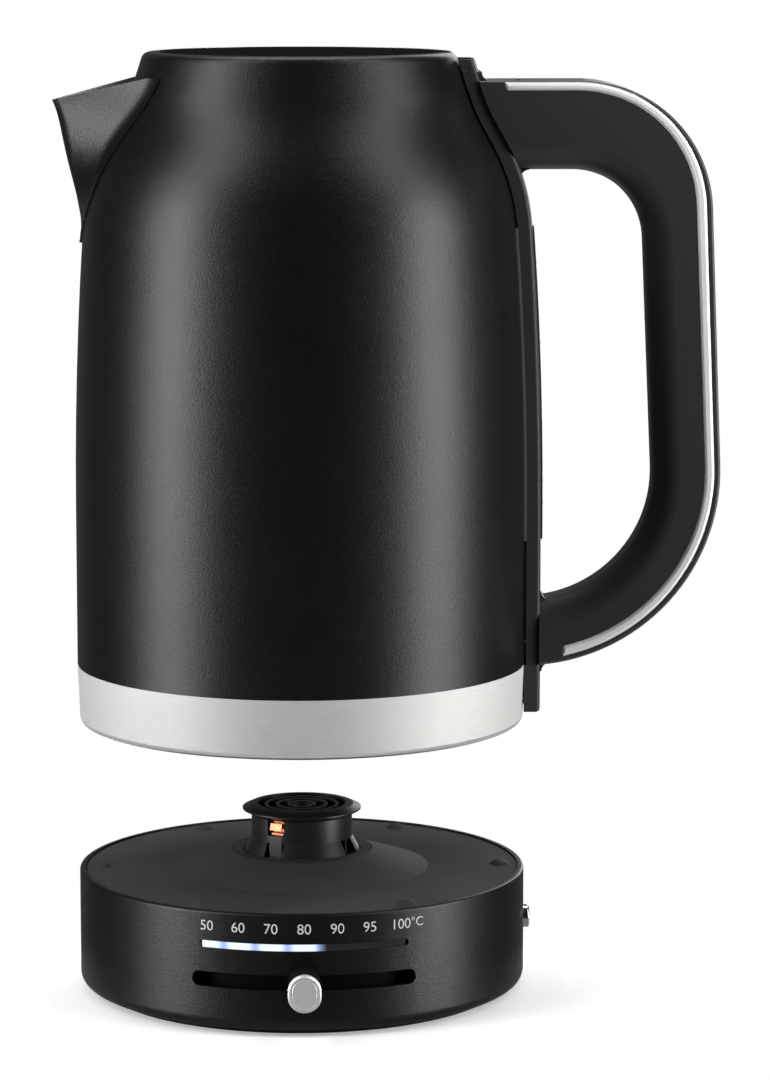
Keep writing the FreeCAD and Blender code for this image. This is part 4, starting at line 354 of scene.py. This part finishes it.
def moved_up(shade, geometry, height):
    """Geometry lifted by a height."""
    lift = shade.node("CombineXYZ", {}, {2: height})
    return shade.node("GeometryNodeTransform", {}, {"Geometry": geometry, "Translation": lift})


def cylinder(shade, sides, radius, depth):
    """An upright cylinder about the origin."""
    return shade.node("GeometryNodeMeshCylinder", {}, {"Vertices": sides, "Radius": radius, "Depth": depth})


def screw_ring():
    """A ring of screws, heads down: head cylinder with a cross cut out of it, and its shank."""
    inputs = ("count", "ring_r", "first", "low", "head_r", "head_h", "shank_r", "length")
    shade, sizes = sized_tree("screw_ring", *inputs)
    count, ring_r, first, low, head_r, head_h, shank_r, length = sizes
    ring = shade.node("GeometryNodeMeshCircle", {}, {"Vertices": count, "Radius": ring_r})
    turn = shade.node("CombineXYZ", {}, {2: first})
    rise = shade.node("CombineXYZ", {}, {2: low})
    spots = shade.node("GeometryNodeTransform", {}, {"Geometry": ring, "Translation": rise, "Rotation": turn})
    bars = []
    for x, y in ((CROSS_LONG, CROSS_WIDE), (CROSS_WIDE, CROSS_LONG)):
        size = shade.node("CombineXYZ", {}, {0: head_r * x, 1: head_r * y, 2: head_h})
        bars.append(shade.node("GeometryNodeMeshCube", {}, {"Size": size}))
    cross = shade.node("GeometryNodeMeshBoolean", {"operation": "UNION"}, {1: bars[0]})
    shade.tree.links.new(bars[1].socket, cross.socket.node.inputs[1])
    cross = moved_up(shade, cross, head_h * -CROSS_SUNK)
    head = cylinder(shade, HEAD_SIDES, head_r, head_h)
    head = shade.node("GeometryNodeMeshBoolean", {"operation": "DIFFERENCE"}, {0: head, 1: cross})
    shank = moved_up(shade, cylinder(shade, SHANK_SIDES, shank_r, length), (length + head_h) * 0.5)
    screw = shade.node("GeometryNodeJoinGeometry", {}, {0: head})
    shade.tree.links.new(shank.socket, screw.socket.node.inputs[0])
    screw = moved_up(shade, screw, head_h * 0.5)
    screws = shade.node("GeometryNodeInstanceOnPoints", {}, {"Points": spots, "Instance": screw})
    return finished_tree(screws, plain_steel)


screws_below = screw_ring()
for node, body, sizes in SCREW_SETS:
    low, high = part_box(node)
    length = high[2] - low[2] - sizes["head_h"]
    screws = grow(node + "_cross_head", screws_below, low=low[2], length=length, **sizes)
    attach(screws, body)
    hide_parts(node)


# Seals of the lid, the probe and the water gauge: soft moulded silicone, a little see-through.
# The rings are pressed into their grooves, and the gauge's gasket is squeezed behind its window.

SEAL_GREY = 0.42
GASKET_GREY = 0.1
SILICONE_CLOUDS = 240.0
SILICONE_PALER = (1.2, 1.2, 1.19)
SILICONE_ROUGH = 0.42
SILICONE_ROUGH_CLOUD = 0.12


def soft_silicone(name, grey):
    """Silicone of one grey, clouded and half dull."""
    material, shade, shader = finish(name, specular_ior_level=0.35, subsurface_weight=0.15)
    where, _ = place(shade)
    cloud = noise(shade, where, SILICONE_CLOUDS)
    tone = cloud.pick((grey, grey, grey), toned(SILICONE_PALER, grey))
    feed(shader, base_color=tone, roughness=SILICONE_ROUGH + SILICONE_ROUGH_CLOUD * cloud)
    return material


coat(soft_silicone("grey_silicone", SEAL_GREY), "lid_seal", "probe_seal")
coat(soft_silicone("dark_silicone", GASKET_GREY), "gauge_seal")


# Foot band: a rolled ring of stainless steel, brushed round the jug, with a bright turned-in lower edge.
# It is pressed over the lower edge of the wall and held by the moulding underneath.

BAND_STEEL = (0.63, 0.625, 0.615)
BRUSH_ROUND = 9.0
BRUSH_UP = 5200.0
BRUSH_DEPTH = 0.00002
BRUSH_DARK = 0.8
BRUSH_DARK_TO, BRUSH_PALE_FROM = 0.25, 0.75
BRUSH_ROUGH = 0.16
BAND_CLOUDS = 35.0
BAND_ROUGH = 0.44
BAND_ROUGH_CLOUD = 0.05


def brushed_ring(name, colour):
    """Steel brushed round the kettle's axis: long marks along the turn, fine ones up it."""
    material, shade, shader = finish(name, metallic=1.0, anisotropic=0.75)
    where, (x, y, z) = place(shade)
    turn = shade.math("ARCTAN2", y, x)
    unrolled = shade.node("CombineXYZ", {}, {0: BRUSH_ROUND * turn, 1: BRUSH_UP * z, 2: 0.0})
    lines = noise(shade, unrolled, 1.0, detail=4.0, roughness=0.7)
    cloud = noise(shade, where, BAND_CLOUDS)
    tone = lines.step(BRUSH_DARK_TO, BRUSH_PALE_FROM).pick(toned(colour, BRUSH_DARK), colour)
    feed(shader, base_color=tone, roughness=BAND_ROUGH + BRUSH_ROUGH * lines + BAND_ROUGH_CLOUD * cloud)
    feed(shader, normal=bump(shade, lines, BRUSH_DEPTH, strength=0.35))
    return material


coat(brushed_ring("brushed_band", BAND_STEEL), "base_band")


# Handle: strip, hinge cover, loop, thumb button and outer cover, moulded in dark matte plastic.
# The strip and the loop are screwed to the wall, and the outer cover snaps over the loop's back
# in a slightly glossier grade.

HANDLE_GREY = (0.028, 0.028, 0.0285)
COVER_GREY = (0.027, 0.027, 0.0275)
HANDLE_GRAIN = {"grain_scale": 3600.0, "depth": 0.00003}

handle_plastic = grained_plastic("handle_plastic", HANDLE_GREY, roughness=0.44, **HANDLE_GRAIN)
coat(handle_plastic, "handle_strip", "hinge_cover", "handle_grip", "lid_release_button")
cover_plastic = grained_plastic("cover_plastic", COVER_GREY, roughness=0.4, gloss=0.6, **HANDLE_GRAIN)
coat(cover_plastic, "handle_back_cover")


# Lid top: a flat disc of dull black plastic with the handle's fine grain.
# It is moulded in one piece and screwed to the plug from below.

LID_BLACK = (0.008, 0.008, 0.0083)

lid_plastic = grained_plastic("lid_plastic", LID_BLACK, roughness=0.5, gloss=0.0, **HANDLE_GRAIN)
coat(lid_plastic, "lid_cap")


# Handle trim: a drawn aluminium strip let into each side of the loop, pale and satin along its flat.
# Its two edges are bevelled bright, and it sits in a groove a hair wider than itself.

TRIM_PALE = (0.97, 0.97, 0.975)
TRIM_DIM = (0.93, 0.93, 0.935)
TRIM_MARKS = 1900.0
TRIM_MARK_DEPTH = 0.00001
TRIM_CLOUDS = 40.0
TRIM_ROUGH = 0.34
TRIM_ROUGH_MARKS = 0.1
BEVEL_W = 0.00045
BEVEL_DEPTH = 0.00026
BEVEL_SHARP = math.radians(14.0)
TRIM_SUNK = 0.0001
TRIM_GROOVE = 0.00012
SAME_POINT = 0.000002
SAME_PLANE = math.radians(0.5)
ON_FLAT = 0.00002


def drawn_trim():
    """Pale satin metal with fine drawing marks."""
    material, shade, shader = finish("bright_trim", specular_ior_level=0.5, metallic=0.1)
    where, _ = place(shade)
    marks = noise(shade, where, TRIM_MARKS)
    cloud = noise(shade, where, TRIM_CLOUDS)
    feed(shader, base_color=cloud.pick(TRIM_PALE, TRIM_DIM), roughness=TRIM_ROUGH + TRIM_ROUGH_MARKS * marks)
    feed(shader, normal=bump(shade, marks, TRIM_MARK_DEPTH, strength=0.25))
    return material


def bevelled_trim():
    """The trim's solid, drawn in by the groove's gap, with its outer flats raised inside a bevel."""
    form = bmesh.new()
    form.from_mesh(nodes["handle_trim"].data)
    bmesh.ops.remove_doubles(form, verts=form.verts, dist=SAME_POINT)
    bmesh.ops.dissolve_limit(form, angle_limit=SAME_PLANE, verts=form.verts, edges=form.edges)
    form.normal_update()
    for vertex in form.verts:
        out = Vector((vertex.normal.x, 0.0, vertex.normal.z))
        vertex.co -= out.normalized() * TRIM_GROOVE
    outer = max(vertex.co.y for vertex in form.verts)
    for side in (-1.0, 1.0):
        flats = [f for f in form.faces if all(v.co.y * side > outer - ON_FLAT for v in f.verts)]
        for vertex in {v for f in flats for v in f.verts}:
            vertex.co.y -= side * TRIM_SUNK
        bmesh.ops.inset_region(form, faces=flats, thickness=BEVEL_W, depth=BEVEL_DEPTH, use_even_offset=True)
    mesh = bpy.data.meshes.new("bevelled_trim")
    form.to_mesh(mesh)
    form.free()
    mesh.shade_smooth()
    mesh.set_sharp_from_angle(angle=BEVEL_SHARP)
    return mesh


trim_mesh = bevelled_trim()
trim_mesh.materials.append(drawn_trim())
trim = stand("bevelled_trim", trim_mesh)
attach(trim, "jug")
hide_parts("handle_trim")


# Water gauge: a moulded window of smoked clear plastic, glossy outside, clipped into the handle's strip
# over its gasket. Its level lines are white pad print, laid on the curved face, and every fourth
# is twice as wide.

SMOKE_DARK = (0.05, 0.05, 0.054)
SMOKE_LIGHT = (0.08, 0.08, 0.085)
SMOKE_CLOUDS = 120.0
SMOKE_ROUGH = 0.08
SMOKE_ROUGH_CLOUD = 0.06
PRINT_DIM = (0.66, 0.66, 0.66)
PRINT_BRIGHT = (0.8, 0.8, 0.8)
PRINT_SPECKLE = 3000.0
PRINT_ROUGH = 0.5
PRINT_ROUGH_SPECKLE = 0.1
LEVELS = 13
LEVEL_MARGIN = 0.012
LEVEL_W = 0.004
LEVEL_H = 0.0005
LEVEL_THICK = 0.00008
LEVEL_POINTS = 5
WIDE_EVERY = 4.0
FAR_OUT = 1.0


def smoked_window():
    """Clear plastic with a dark tint."""
    material, shade, shader = finish(
        "smoked_window", ior=1.49, transmission_weight=0.55, specular_ior_level=0.5
    )
    where, _ = place(shade)
    cloud = noise(shade, where, SMOKE_CLOUDS)
    feed(shader, base_color=cloud.pick(SMOKE_DARK, SMOKE_LIGHT))
    feed(shader, roughness=SMOKE_ROUGH + SMOKE_ROUGH_CLOUD * cloud)
    return material


def white_print():
    """Pad-printing ink with the speckle of a thin coat."""
    material, shade, shader = finish("white_print", specular_ior_level=0.3)
    where, _ = place(shade)
    speckle = noise(shade, where, PRINT_SPECKLE)
    feed(shader, base_color=speckle.pick(PRINT_DIM, PRINT_BRIGHT))
    feed(shader, roughness=PRINT_ROUGH + PRINT_ROUGH_SPECKLE * speckle)
    return material


def gauge_lines(material):
    """Level lines in a column, each point of them moved along X onto the window's face."""
    shade, sizes = sized_tree("gauge_lines", "count", "low", "high", "width", "height", "thick")
    count, low, high, width, height, thick = sizes
    start = shade.node("CombineXYZ", {}, {2: low})
    end = shade.node("CombineXYZ", {}, {2: high})
    column = {"Count": count, "Start Location": start, "Offset": end}
    rule = shade.node("GeometryNodeMeshLine", {"mode": "END_POINTS"}, column)
    bar = shade.node("CombineXYZ", {}, {0: thick, 1: width, 2: height})
    bar = shade.node("GeometryNodeMeshCube", {}, {"Size": bar, "Vertices Y": LEVEL_POINTS})
    index = shade.node("GeometryNodeInputIndex", {}, {})
    wide = 1.0 + shade.math("LESS_THAN", shade.math("MODULO", index, WIDE_EVERY), 0.5)
    stretch = shade.node("CombineXYZ", {}, {0: 1.0, 1: wide, 2: 1.0})
    bars = shade.node("GeometryNodeInstanceOnPoints", {}, {"Points": rule, "Instance": bar, "Scale": stretch})
    bars = shade.node("GeometryNodeRealizeInstances", {}, {0: bars})
    spot = shade.node("GeometryNodeInputPosition", {}, {})
    x, y, z = [shade.node("SeparateXYZ", {}, {0: spot}, out=k) for k in range(3)]
    far = shade.node("CombineXYZ", {}, {0: FAR_OUT, 1: y, 2: z})
    face = shade.node("GeometryNodeObjectInfo", {}, {"Object": nodes["gauge_window"]}, out="Geometry")
    ray = {
        "Target Geometry": face, "Source Position": far,
        "Ray Direction": (-1.0, 0.0, 0.0), "Ray Length": 2.0 * FAR_OUT,
    }
    hit = shade.node("GeometryNodeRaycast", {}, ray, out="Hit Position")
    hit = shade.node("SeparateXYZ", {}, {0: hit}, out=0)
    laid = shade.node("CombineXYZ", {}, {0: hit + x + thick, 1: y, 2: z})
    bars = shade.node("GeometryNodeSetPosition", {}, {"Geometry": bars, "Position": laid})
    return finished_tree(bars, material)


coat(smoked_window(), "gauge_window")
print_white = white_print()
low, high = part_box("gauge_window")
lines = grow(
    "gauge_lines", gauge_lines(print_white), count=LEVELS,
    low=low[2] + LEVEL_MARGIN, high=high[2] - LEVEL_MARGIN,
    width=LEVEL_W, height=LEVEL_H, thick=LEVEL_THICK,
)
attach(lines, "jug")


# Power base shell: a moulded ring wall with the slot for the slider and the bar of lights in its front.
# It has the jug's satin black coat, on every side, and is screwed to the plate underneath.

coat(satin_paint("satin_black_base", bare_inside=False), "base_shell")


# Pad, seat bumps, foot ring and cord grommet: moulded dark rubber with a dull bloom.
# The pad is set into the shell's top and has a thin groove round the connector's land, with painted
# shade in it; the ring and the grommet are pressed into the plate and the wall.

PAD_GREY = 0.042
FOOT_GREY = 0.02
BUMP_GREY = 0.036
RUBBER_GLOSS = 0.14
RUBBER_GRAIN = 1500.0
RUBBER_GRAIN_DEPTH = 0.00005
RUBBER_TINT = (1.0, 1.0, 1.02)
RUBBER_ROUGH = 0.6
RUBBER_ROUGH_GRAIN = 0.14
BLOOM_CLOUDS = 30.0
BLOOM_TINT = (1.35, 1.35, 1.38)
BLOOM_FROM, BLOOM_TO = 0.3, 0.8
LAND_GROOVE_R = 0.0242
LAND_GROOVE_FLOOR, LAND_GROOVE_EDGE = 0.0001, 0.00035
LAND_GROOVE_DEPTH = 8.0
LAND_GROOVE_PAINTED_SHADE = (0.001, 0.001, 0.001)


def dull_rubber(name, grey, grooved):
    """Rubber of one grey with a patchy bloom, and where it is asked for a pressed groove with painted shade
    in it.
    """
    material, shade, shader = finish(name, specular_ior_level=RUBBER_GLOSS)
    where, (x, y, _) = place(shade)
    grain = noise(shade, where, RUBBER_GRAIN, detail=4.0, roughness=0.65)
    bloom = noise(shade, where, BLOOM_CLOUDS, detail=3.0).step(BLOOM_FROM, BLOOM_TO)
    colour = bloom.pick(toned(RUBBER_TINT, grey), toned(BLOOM_TINT, grey))
    height = grain
    if grooved:
        away = shade.math("SQRT", x * x + y * y)
        off = shade.math("ABSOLUTE", away - LAND_GROOVE_R)
        groove = 1.0 - off.step(LAND_GROOVE_FLOOR, LAND_GROOVE_EDGE)
        # The groove's near-black is painted shade.
        colour = groove.pick(colour, LAND_GROOVE_PAINTED_SHADE)
        height = grain - LAND_GROOVE_DEPTH * groove
    feed(shader, base_color=colour, roughness=RUBBER_ROUGH + RUBBER_ROUGH_GRAIN * grain)
    feed(shader, normal=bump(shade, height, RUBBER_GRAIN_DEPTH, strength=0.35))
    return material


coat(dull_rubber("pad_rubber", PAD_GREY, grooved=True), "base_pad")
coat(dull_rubber("foot_rubber", FOOT_GREY, grooved=False), "foot_ring", "cord_gland")
coat(dull_rubber("bump_rubber", BUMP_GREY, grooved=False), "pad_bumps")


# Connector: neck and cap of black glass-filled nylon, moulded smooth, that stand up through the pad.
# Copper leaves are set in the neck's window, and their partners in the socket under the jug.

CONNECTOR_BLACK = (0.013, 0.013, 0.0135)
COPPER = (0.4, 0.16, 0.085)
COPPER_STAIN = (0.32, 0.12, 0.06)

connector_nylon = grained_plastic(
    "connector_nylon", CONNECTOR_BLACK, roughness=0.34, grain_scale=2200.0, depth=0.00004
)
coat(connector_nylon, "connector_body", "connector_cap")
copper_leaf = plain_metal("copper_leaf", COPPER, roughness=0.3, stain=COPPER_STAIN)
coat(copper_leaf, "connector_contacts", "socket_contacts")


# Temperature scale: a clear curved bar of moulded plastic, clipped behind the wall and lit from the back.
# There is one light for each number, on a board behind the bar, and the first four are on.

LIGHT_STEP = math.radians(8.1)
LIGHTS_LEFT = 3.0
LIT_TO, DARK_FROM = 3.3, 3.7
SPOT_EDGE, SPOT_END = 0.25, 0.5
LIT_WHITE = (0.72, 0.83, 1.0)
LIT_BLUE = (0.2, 0.3, 0.72)
UNLIT = (0.004, 0.004, 0.005)
BAR_DARK = (0.02, 0.02, 0.022)
BAR_PAINTED_GLOW = (0.3, 0.33, 0.4)


def lit_bar():
    """Glossy clear plastic with a white spot at each lit number and blue between, and a paler colour painted
    where it is lit.
    """
    material, shade, shader = finish("lit_bar", specular_ior_level=0.5, roughness=0.18, emission_strength=1.0)
    _, (x, y, _) = place(shade)
    turn = shade.math("ARCTAN2", x, 0.0 - y)
    mark = turn / LIGHT_STEP + LIGHTS_LEFT
    middle = shade.math("FRACT", mark + 0.5) - 0.5
    between = shade.math("ABSOLUTE", middle).step(SPOT_EDGE, SPOT_END)
    on = 1.0 - mark.step(LIT_TO, DARK_FROM)
    feed(shader, emission_color=on.pick(UNLIT, between.pick(LIT_WHITE, LIT_BLUE)))
    # Where the lights are on, the bar's colour is painted paler: painted light from the lights behind it.
    feed(shader, base_color=on.pick(BAR_DARK, BAR_PAINTED_GLOW))
    return material


coat(lit_bar(), "scale_light_guide", "leds")


# Circuit boards, one behind the light bar and one flat in the base: glass-epoxy sheet under green mask.
# They are screwed or clipped to posts inside the base.

MASK_GREEN = (0.012, 0.07, 0.03)
TRACK_GREEN = (0.03, 0.13, 0.055)
GLASS_WEAVE = 900.0
TRACK_PITCH = 160.0
BOARD_ROUGH = 0.4
BOARD_ROUGH_WEAVE = 0.1


def green_board():
    """Green mask, paler over the tracks."""
    material, shade, shader = finish("green_board", specular_ior_level=0.4)
    where, _ = place(shade)
    weave = noise(shade, where, GLASS_WEAVE, detail=1.0)
    tracks = shade.node("TexBrick", {}, {"Vector": where, "Scale": TRACK_PITCH}, out=1)
    feed(shader, base_color=tracks.pick(MASK_GREEN, TRACK_GREEN))
    feed(shader, roughness=BOARD_ROUGH + BOARD_ROUGH_WEAVE * weave)
    return material


coat(green_board(), "led_board", "power_board")


# Slider: a stem and shoe of black nylon that run in a curved track behind the slot.
# All three are moulded, with hardly any gloss, and the track is fixed inside the shell's wall.

# Near black: partly the nylon's own black, partly painted shade inside the slot behind the wall.
SLIDER_BLACK_AND_SHADE = (0.004, 0.004, 0.0042)

slider_nylon = grained_plastic(
    "slider_nylon", SLIDER_BLACK_AND_SHADE, roughness=0.6, grain_scale=2400.0, depth=0.00003, gloss=0.06
)
coat(slider_nylon, "slider_track", "slider_carriage", "slider_knob")


# Slider face: a pressed steel cap with a bevelled rim and a shallow groove round its satin flat.
# It is brushed up and down and glued on the stem; each step of the pressing is a distance drawn in
# from the outline and a distance set back from the front.

FACE_STEPS = (
    (0.0, 0.0005), (0.0005, 0.0), (0.0011, 0.0),
    (0.0012, 0.00016), (0.0014, 0.00016), (0.0016, 0.00004),
)
FACE_POINTS = 24
FACE_SHARE = 0.96
FACE_DIM = (0.68, 0.675, 0.665)
FACE_BRIGHT = (0.8, 0.795, 0.785)
FACE_BRUSHING = (5200.0, 300.0, 260.0)
FACE_BRUSH_DEPTH = 0.00001
FACE_ROUGH = 0.3
FACE_ROUGH_LINES = 0.14


def satin_face():
    """Steel brushed in fine upright lines."""
    material, shade, shader = finish("satin_face", metallic=0.5)
    where, _ = place(shade)
    lines = drawn_noise(shade, where, FACE_BRUSHING, roughness=0.7)
    feed(shader, base_color=lines.pick(FACE_DIM, FACE_BRIGHT))
    feed(shader, roughness=FACE_ROUGH + FACE_ROUGH_LINES * lines)
    feed(shader, normal=bump(shade, lines, FACE_BRUSH_DEPTH, strength=0.3))
    return material


def slider_face():
    """Long-round loops from the back edge to the flat, each drawn in and set back from the front."""
    low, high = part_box("slider_cap")
    middle_x = (low[0] + high[0]) / 2
    middle_z = (low[2] + high[2]) / 2
    half_w = FACE_SHARE * (high[0] - low[0]) / 2
    straight = (high[2] - low[2]) / 2 - half_w
    form = bmesh.new()
    loops = []
    for drawn_in, back in ((0.0, high[1] - low[1]),) + FACE_STEPS:
        loop = []
        for k in range(2 * FACE_POINTS):
            angle = math.pi * (k + 0.5) / FACE_POINTS
            rise = straight if angle < math.pi else -straight
            x = middle_x + (half_w - drawn_in) * math.cos(angle)
            z = middle_z + (half_w - drawn_in) * math.sin(angle) + rise
            loop.append(form.verts.new((x, low[1] + back, z)))
        loops.append(loop)
    for ahead, behind in zip(loops[1:], loops):
        for k in range(2 * FACE_POINTS):
            after = (k + 1) % (2 * FACE_POINTS)
            form.faces.new((behind[k], behind[after], ahead[after], ahead[k]))
    form.faces.new(loops[0])
    form.faces.new(loops[-1])
    bmesh.ops.recalc_face_normals(form, faces=form.faces)
    mesh = bpy.data.meshes.new("slider_face")
    form.to_mesh(mesh)
    form.free()
    return mesh


face_mesh = slider_face()
face_mesh.materials.append(satin_face())
face = stand("slider_face", face_mesh)
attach(face, "temp_slider")
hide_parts("slider_cap")


# Start button: a small round button of polished steel in the right of the base's wall.
# It is turned from bar and pushes straight in on the switch behind it.

BUTTON_STEEL = (0.62, 0.62, 0.62)
BUTTON_STAIN = (0.58, 0.58, 0.585)

coat(plain_metal("polished_button", BUTTON_STEEL, roughness=0.1, stain=BUTTON_STAIN), "start_button")


# Scale numbers: white pad print on the base's wall above the light bar, a number for each light.
# The sign for degrees stands to the right of the last one; each is a thin sheet of ink bent round the wall.

WALL_R = 0.0773
PRINT_PROUD = 0.00006
PRINT_THICK = 0.0001
STROKE_THINNER = 0.00002
NUMBERS = ("50", "60", "70", "80", "90", "95", "100")
FRONT_NUMBER = 3
NUMBER_H = 0.0049
NUMBER_Z = 0.0372
NUMBER_STEP = math.radians(8.25)
UNIT = "\u00b0C"
UNIT_H = 0.9 * NUMBER_H
UNIT_Z = NUMBER_Z + 0.0002
UNIT_GAP = 0.048
UNIT_TURN = (len(NUMBERS) - 1 - FRONT_NUMBER) * NUMBER_STEP + UNIT_GAP


def printed(name, words, size, turn, height, align="CENTER"):
    """Flat lettering made a mesh, then wrapped on the base's wall at an angle from the front."""
    curve = bpy.data.curves.new(name, "FONT")
    curve.body = words
    curve.size = size
    curve.align_x = align
    curve.align_y = "CENTER"
    curve.extrude = PRINT_THICK / 2
    curve.offset = -STROKE_THINNER
    flat = stand(name + "_flat", curve)
    mesh = plain_mesh(flat)
    bpy.data.objects.remove(flat)
    for vertex in mesh.vertices:
        angle = turn + vertex.co.x / WALL_R
        radius = WALL_R + PRINT_PROUD + vertex.co.z
        vertex.co = (radius * math.sin(angle), -radius * math.cos(angle), height + vertex.co.y)
    mesh.materials.clear()
    mesh.materials.append(print_white)
    return stand(name, mesh)


prints = [
    printed("scale_" + words, words, NUMBER_H, (k - FRONT_NUMBER) * NUMBER_STEP, NUMBER_Z)
    for k, words in enumerate(NUMBERS)
]
prints.append(printed("scale_unit", UNIT, UNIT_H, UNIT_TURN, UNIT_Z, align="LEFT"))
for number in prints:
    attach(number, "power_base")


# Floor: a wide disc of pale card under the base that fades out into the white surround.
# It is seen from above only, looks brighter to the camera than it is as a source of light,
# and rides with the base.

FLOOR_R = 1.6
FLOOR_SIDES = 96
FLOOR_GREY = (0.4, 0.4, 0.4)
FLOOR_PALE = (0.93, 0.93, 0.93)
FLOOR_NO_GLOW = (0.0, 0.0, 0.0)
FLOOR_GLOW = (0.3, 0.3, 0.3)
FADE_FROM, FADE_TO = 0.082, 0.12


def pale_floor():
    """Matt card, paler to the camera, clear from below and past its fade."""
    material, shade, shader = finish(
        "pale_floor", roughness=0.9, specular_ior_level=0.0, emission_strength=1.0
    )
    where, _ = place(shade)
    direct = shade.node("LightPath", {}, {}, out="Is Camera Ray")
    through = shade.node("LightPath", {}, {}, out="Is Transmission Ray")
    seen = shade.math("MAXIMUM", direct, through)
    feed(shader, base_color=seen.pick(FLOOR_GREY, FLOOR_PALE))
    feed(shader, emission_color=seen.pick(FLOOR_NO_GLOW, FLOOR_GLOW))
    away = shade.node("VectorMath", {"operation": "LENGTH"}, {0: where}, out="Value")
    above = 1.0 - shade.node("NewGeometry", {}, {}, out="Backfacing")
    feed(shader, alpha=above * (1.0 - away.step(FADE_FROM, FADE_TO)))
    return material


floor_mesh = bpy.data.meshes.new("floor")
form = bmesh.new()
bmesh.ops.create_circle(form, cap_ends=True, radius=FLOOR_R, segments=FLOOR_SIDES)
form.to_mesh(floor_mesh)
form.free()
floor_mesh.materials.append(pale_floor())
floor = stand("floor", floor_mesh)
floor.parent = frame["bodies"]["power_base"]


# Surround: a white room to the camera and through the clear pieces, and nearly dark to everything else.
# Mirrored rays find a little light far behind the kettle and more below it,
# as from the far wall and the table of a studio.

ROOM_DARK = (0.012, 0.012, 0.012)
ROOM_WHITE = (1.0, 1.0, 1.0)
BEHIND_FROM, BEHIND_TO = 0.5, 1.0
BEHIND_LIGHT = 0.12
BELOW_FROM, BELOW_TO = 0.25, 0.7
BELOW_LIGHT = 0.9

world = bpy.data.worlds.new("studio")
bpy.context.scene.world = world
world.use_nodes = True
world.node_tree.nodes.clear()
sky = Shade(world.node_tree)
way = sky.node("TexCoord", {}, {}, out="Generated")
back = sky.node("SeparateXYZ", {}, {0: way}, out=1)
down = 0.0 - sky.node("SeparateXYZ", {}, {0: way}, out=2)
behind = back.step(BEHIND_FROM, BEHIND_TO) * BEHIND_LIGHT
below = down.step(BELOW_FROM, BELOW_TO) * BELOW_LIGHT
mirrored = sky.node("LightPath", {}, {}, out="Is Glossy Ray") * sky.math("MAXIMUM", behind, below)
direct = sky.node("LightPath", {}, {}, out="Is Camera Ray")
through = sky.node("LightPath", {}, {}, out="Is Transmission Ray")
seen = sky.math("MAXIMUM", direct, sky.math("MAXIMUM", mirrored, through))
room = sky.node("Background", {}, {"Color": seen.pick(ROOM_DARK, ROOM_WHITE), "Strength": 1.0})
leave = world.node_tree.nodes.new("ShaderNodeOutputWorld")
world.node_tree.links.new(room.socket, leave.inputs["Surface"])


# Lamps: an upright soft light at each side with a smaller one high above it, one overhead and a dim one
# behind. Each is a flat panel that looks at the middle of the kettle and doesn't show in the picture.

LAMP_TARGET = Vector((0.0, 0.0, 0.16))
LAMP_AWAY = 1.3


def soft_light(name, azimuth, elevation, width, height, watts, away=LAMP_AWAY):
    """An area lamp; azimuth 0 is the camera's side, positive to the right."""
    lamp = bpy.data.lights.new(name, "AREA")
    lamp.shape = "RECTANGLE"
    lamp.size = width
    lamp.size_y = height
    lamp.energy = watts
    thing = stand(name, lamp)
    turn = math.radians(azimuth)
    rise = math.radians(elevation)
    way = Vector((math.sin(turn) * math.cos(rise), -math.cos(turn) * math.cos(rise), math.sin(rise)))
    thing.location = LAMP_TARGET + way * away
    thing.rotation_euler = (-way).to_track_quat("-Z", "Y").to_euler()
    thing.visible_camera = False


soft_light("soft_left", azimuth=-68.0, elevation=5.0, width=0.5, height=1.15, watts=19.0)
soft_light("soft_right", azimuth=70.0, elevation=3.0, width=0.5, height=1.1, watts=18.0)
soft_light("high_left", azimuth=-62.0, elevation=47.0, width=0.5, height=0.7, watts=6.0)
soft_light("high_right", azimuth=62.0, elevation=47.0, width=0.5, height=0.7, watts=5.0)
soft_light("soft_top", azimuth=180.0, elevation=74.0, width=1.0, height=0.8, watts=9.0)
soft_light("soft_back", azimuth=160.0, elevation=14.0, width=0.5, height=1.2, watts=5.0, away=1.5)


# Camera: a long lens a little above the jug's rim, tipped down and turned slightly to the handle's side.
# Its focal length is given in pixels of a picture 1080 high, which is the longer side.

CAMERA_AWAY = 1.45
CAMERA_HEIGHT = 0.373
CAMERA_RIGHT = -0.012
AIM_RIGHT = 0.029
PITCH = 8.5
PHOTO_H = 1080
FOCAL_PIXELS = 4246.0
SENSOR = 36.0
SEES_TO = 50.0

camera_data = bpy.data.cameras.new("camera")
camera_data.sensor_width = SENSOR
camera_data.lens = SENSOR * FOCAL_PIXELS / PHOTO_H
camera_data.clip_end = SEES_TO
camera = stand("camera", camera_data)
camera.location = (CAMERA_RIGHT, -CAMERA_AWAY, CAMERA_HEIGHT)
camera.rotation_euler = (math.radians(90.0 - PITCH), 0.0, math.atan2(CAMERA_RIGHT - AIM_RIGHT, CAMERA_AWAY))
bpy.context.scene.camera = camera
bpy.context.scene.view_settings.view_transform = "Standard"
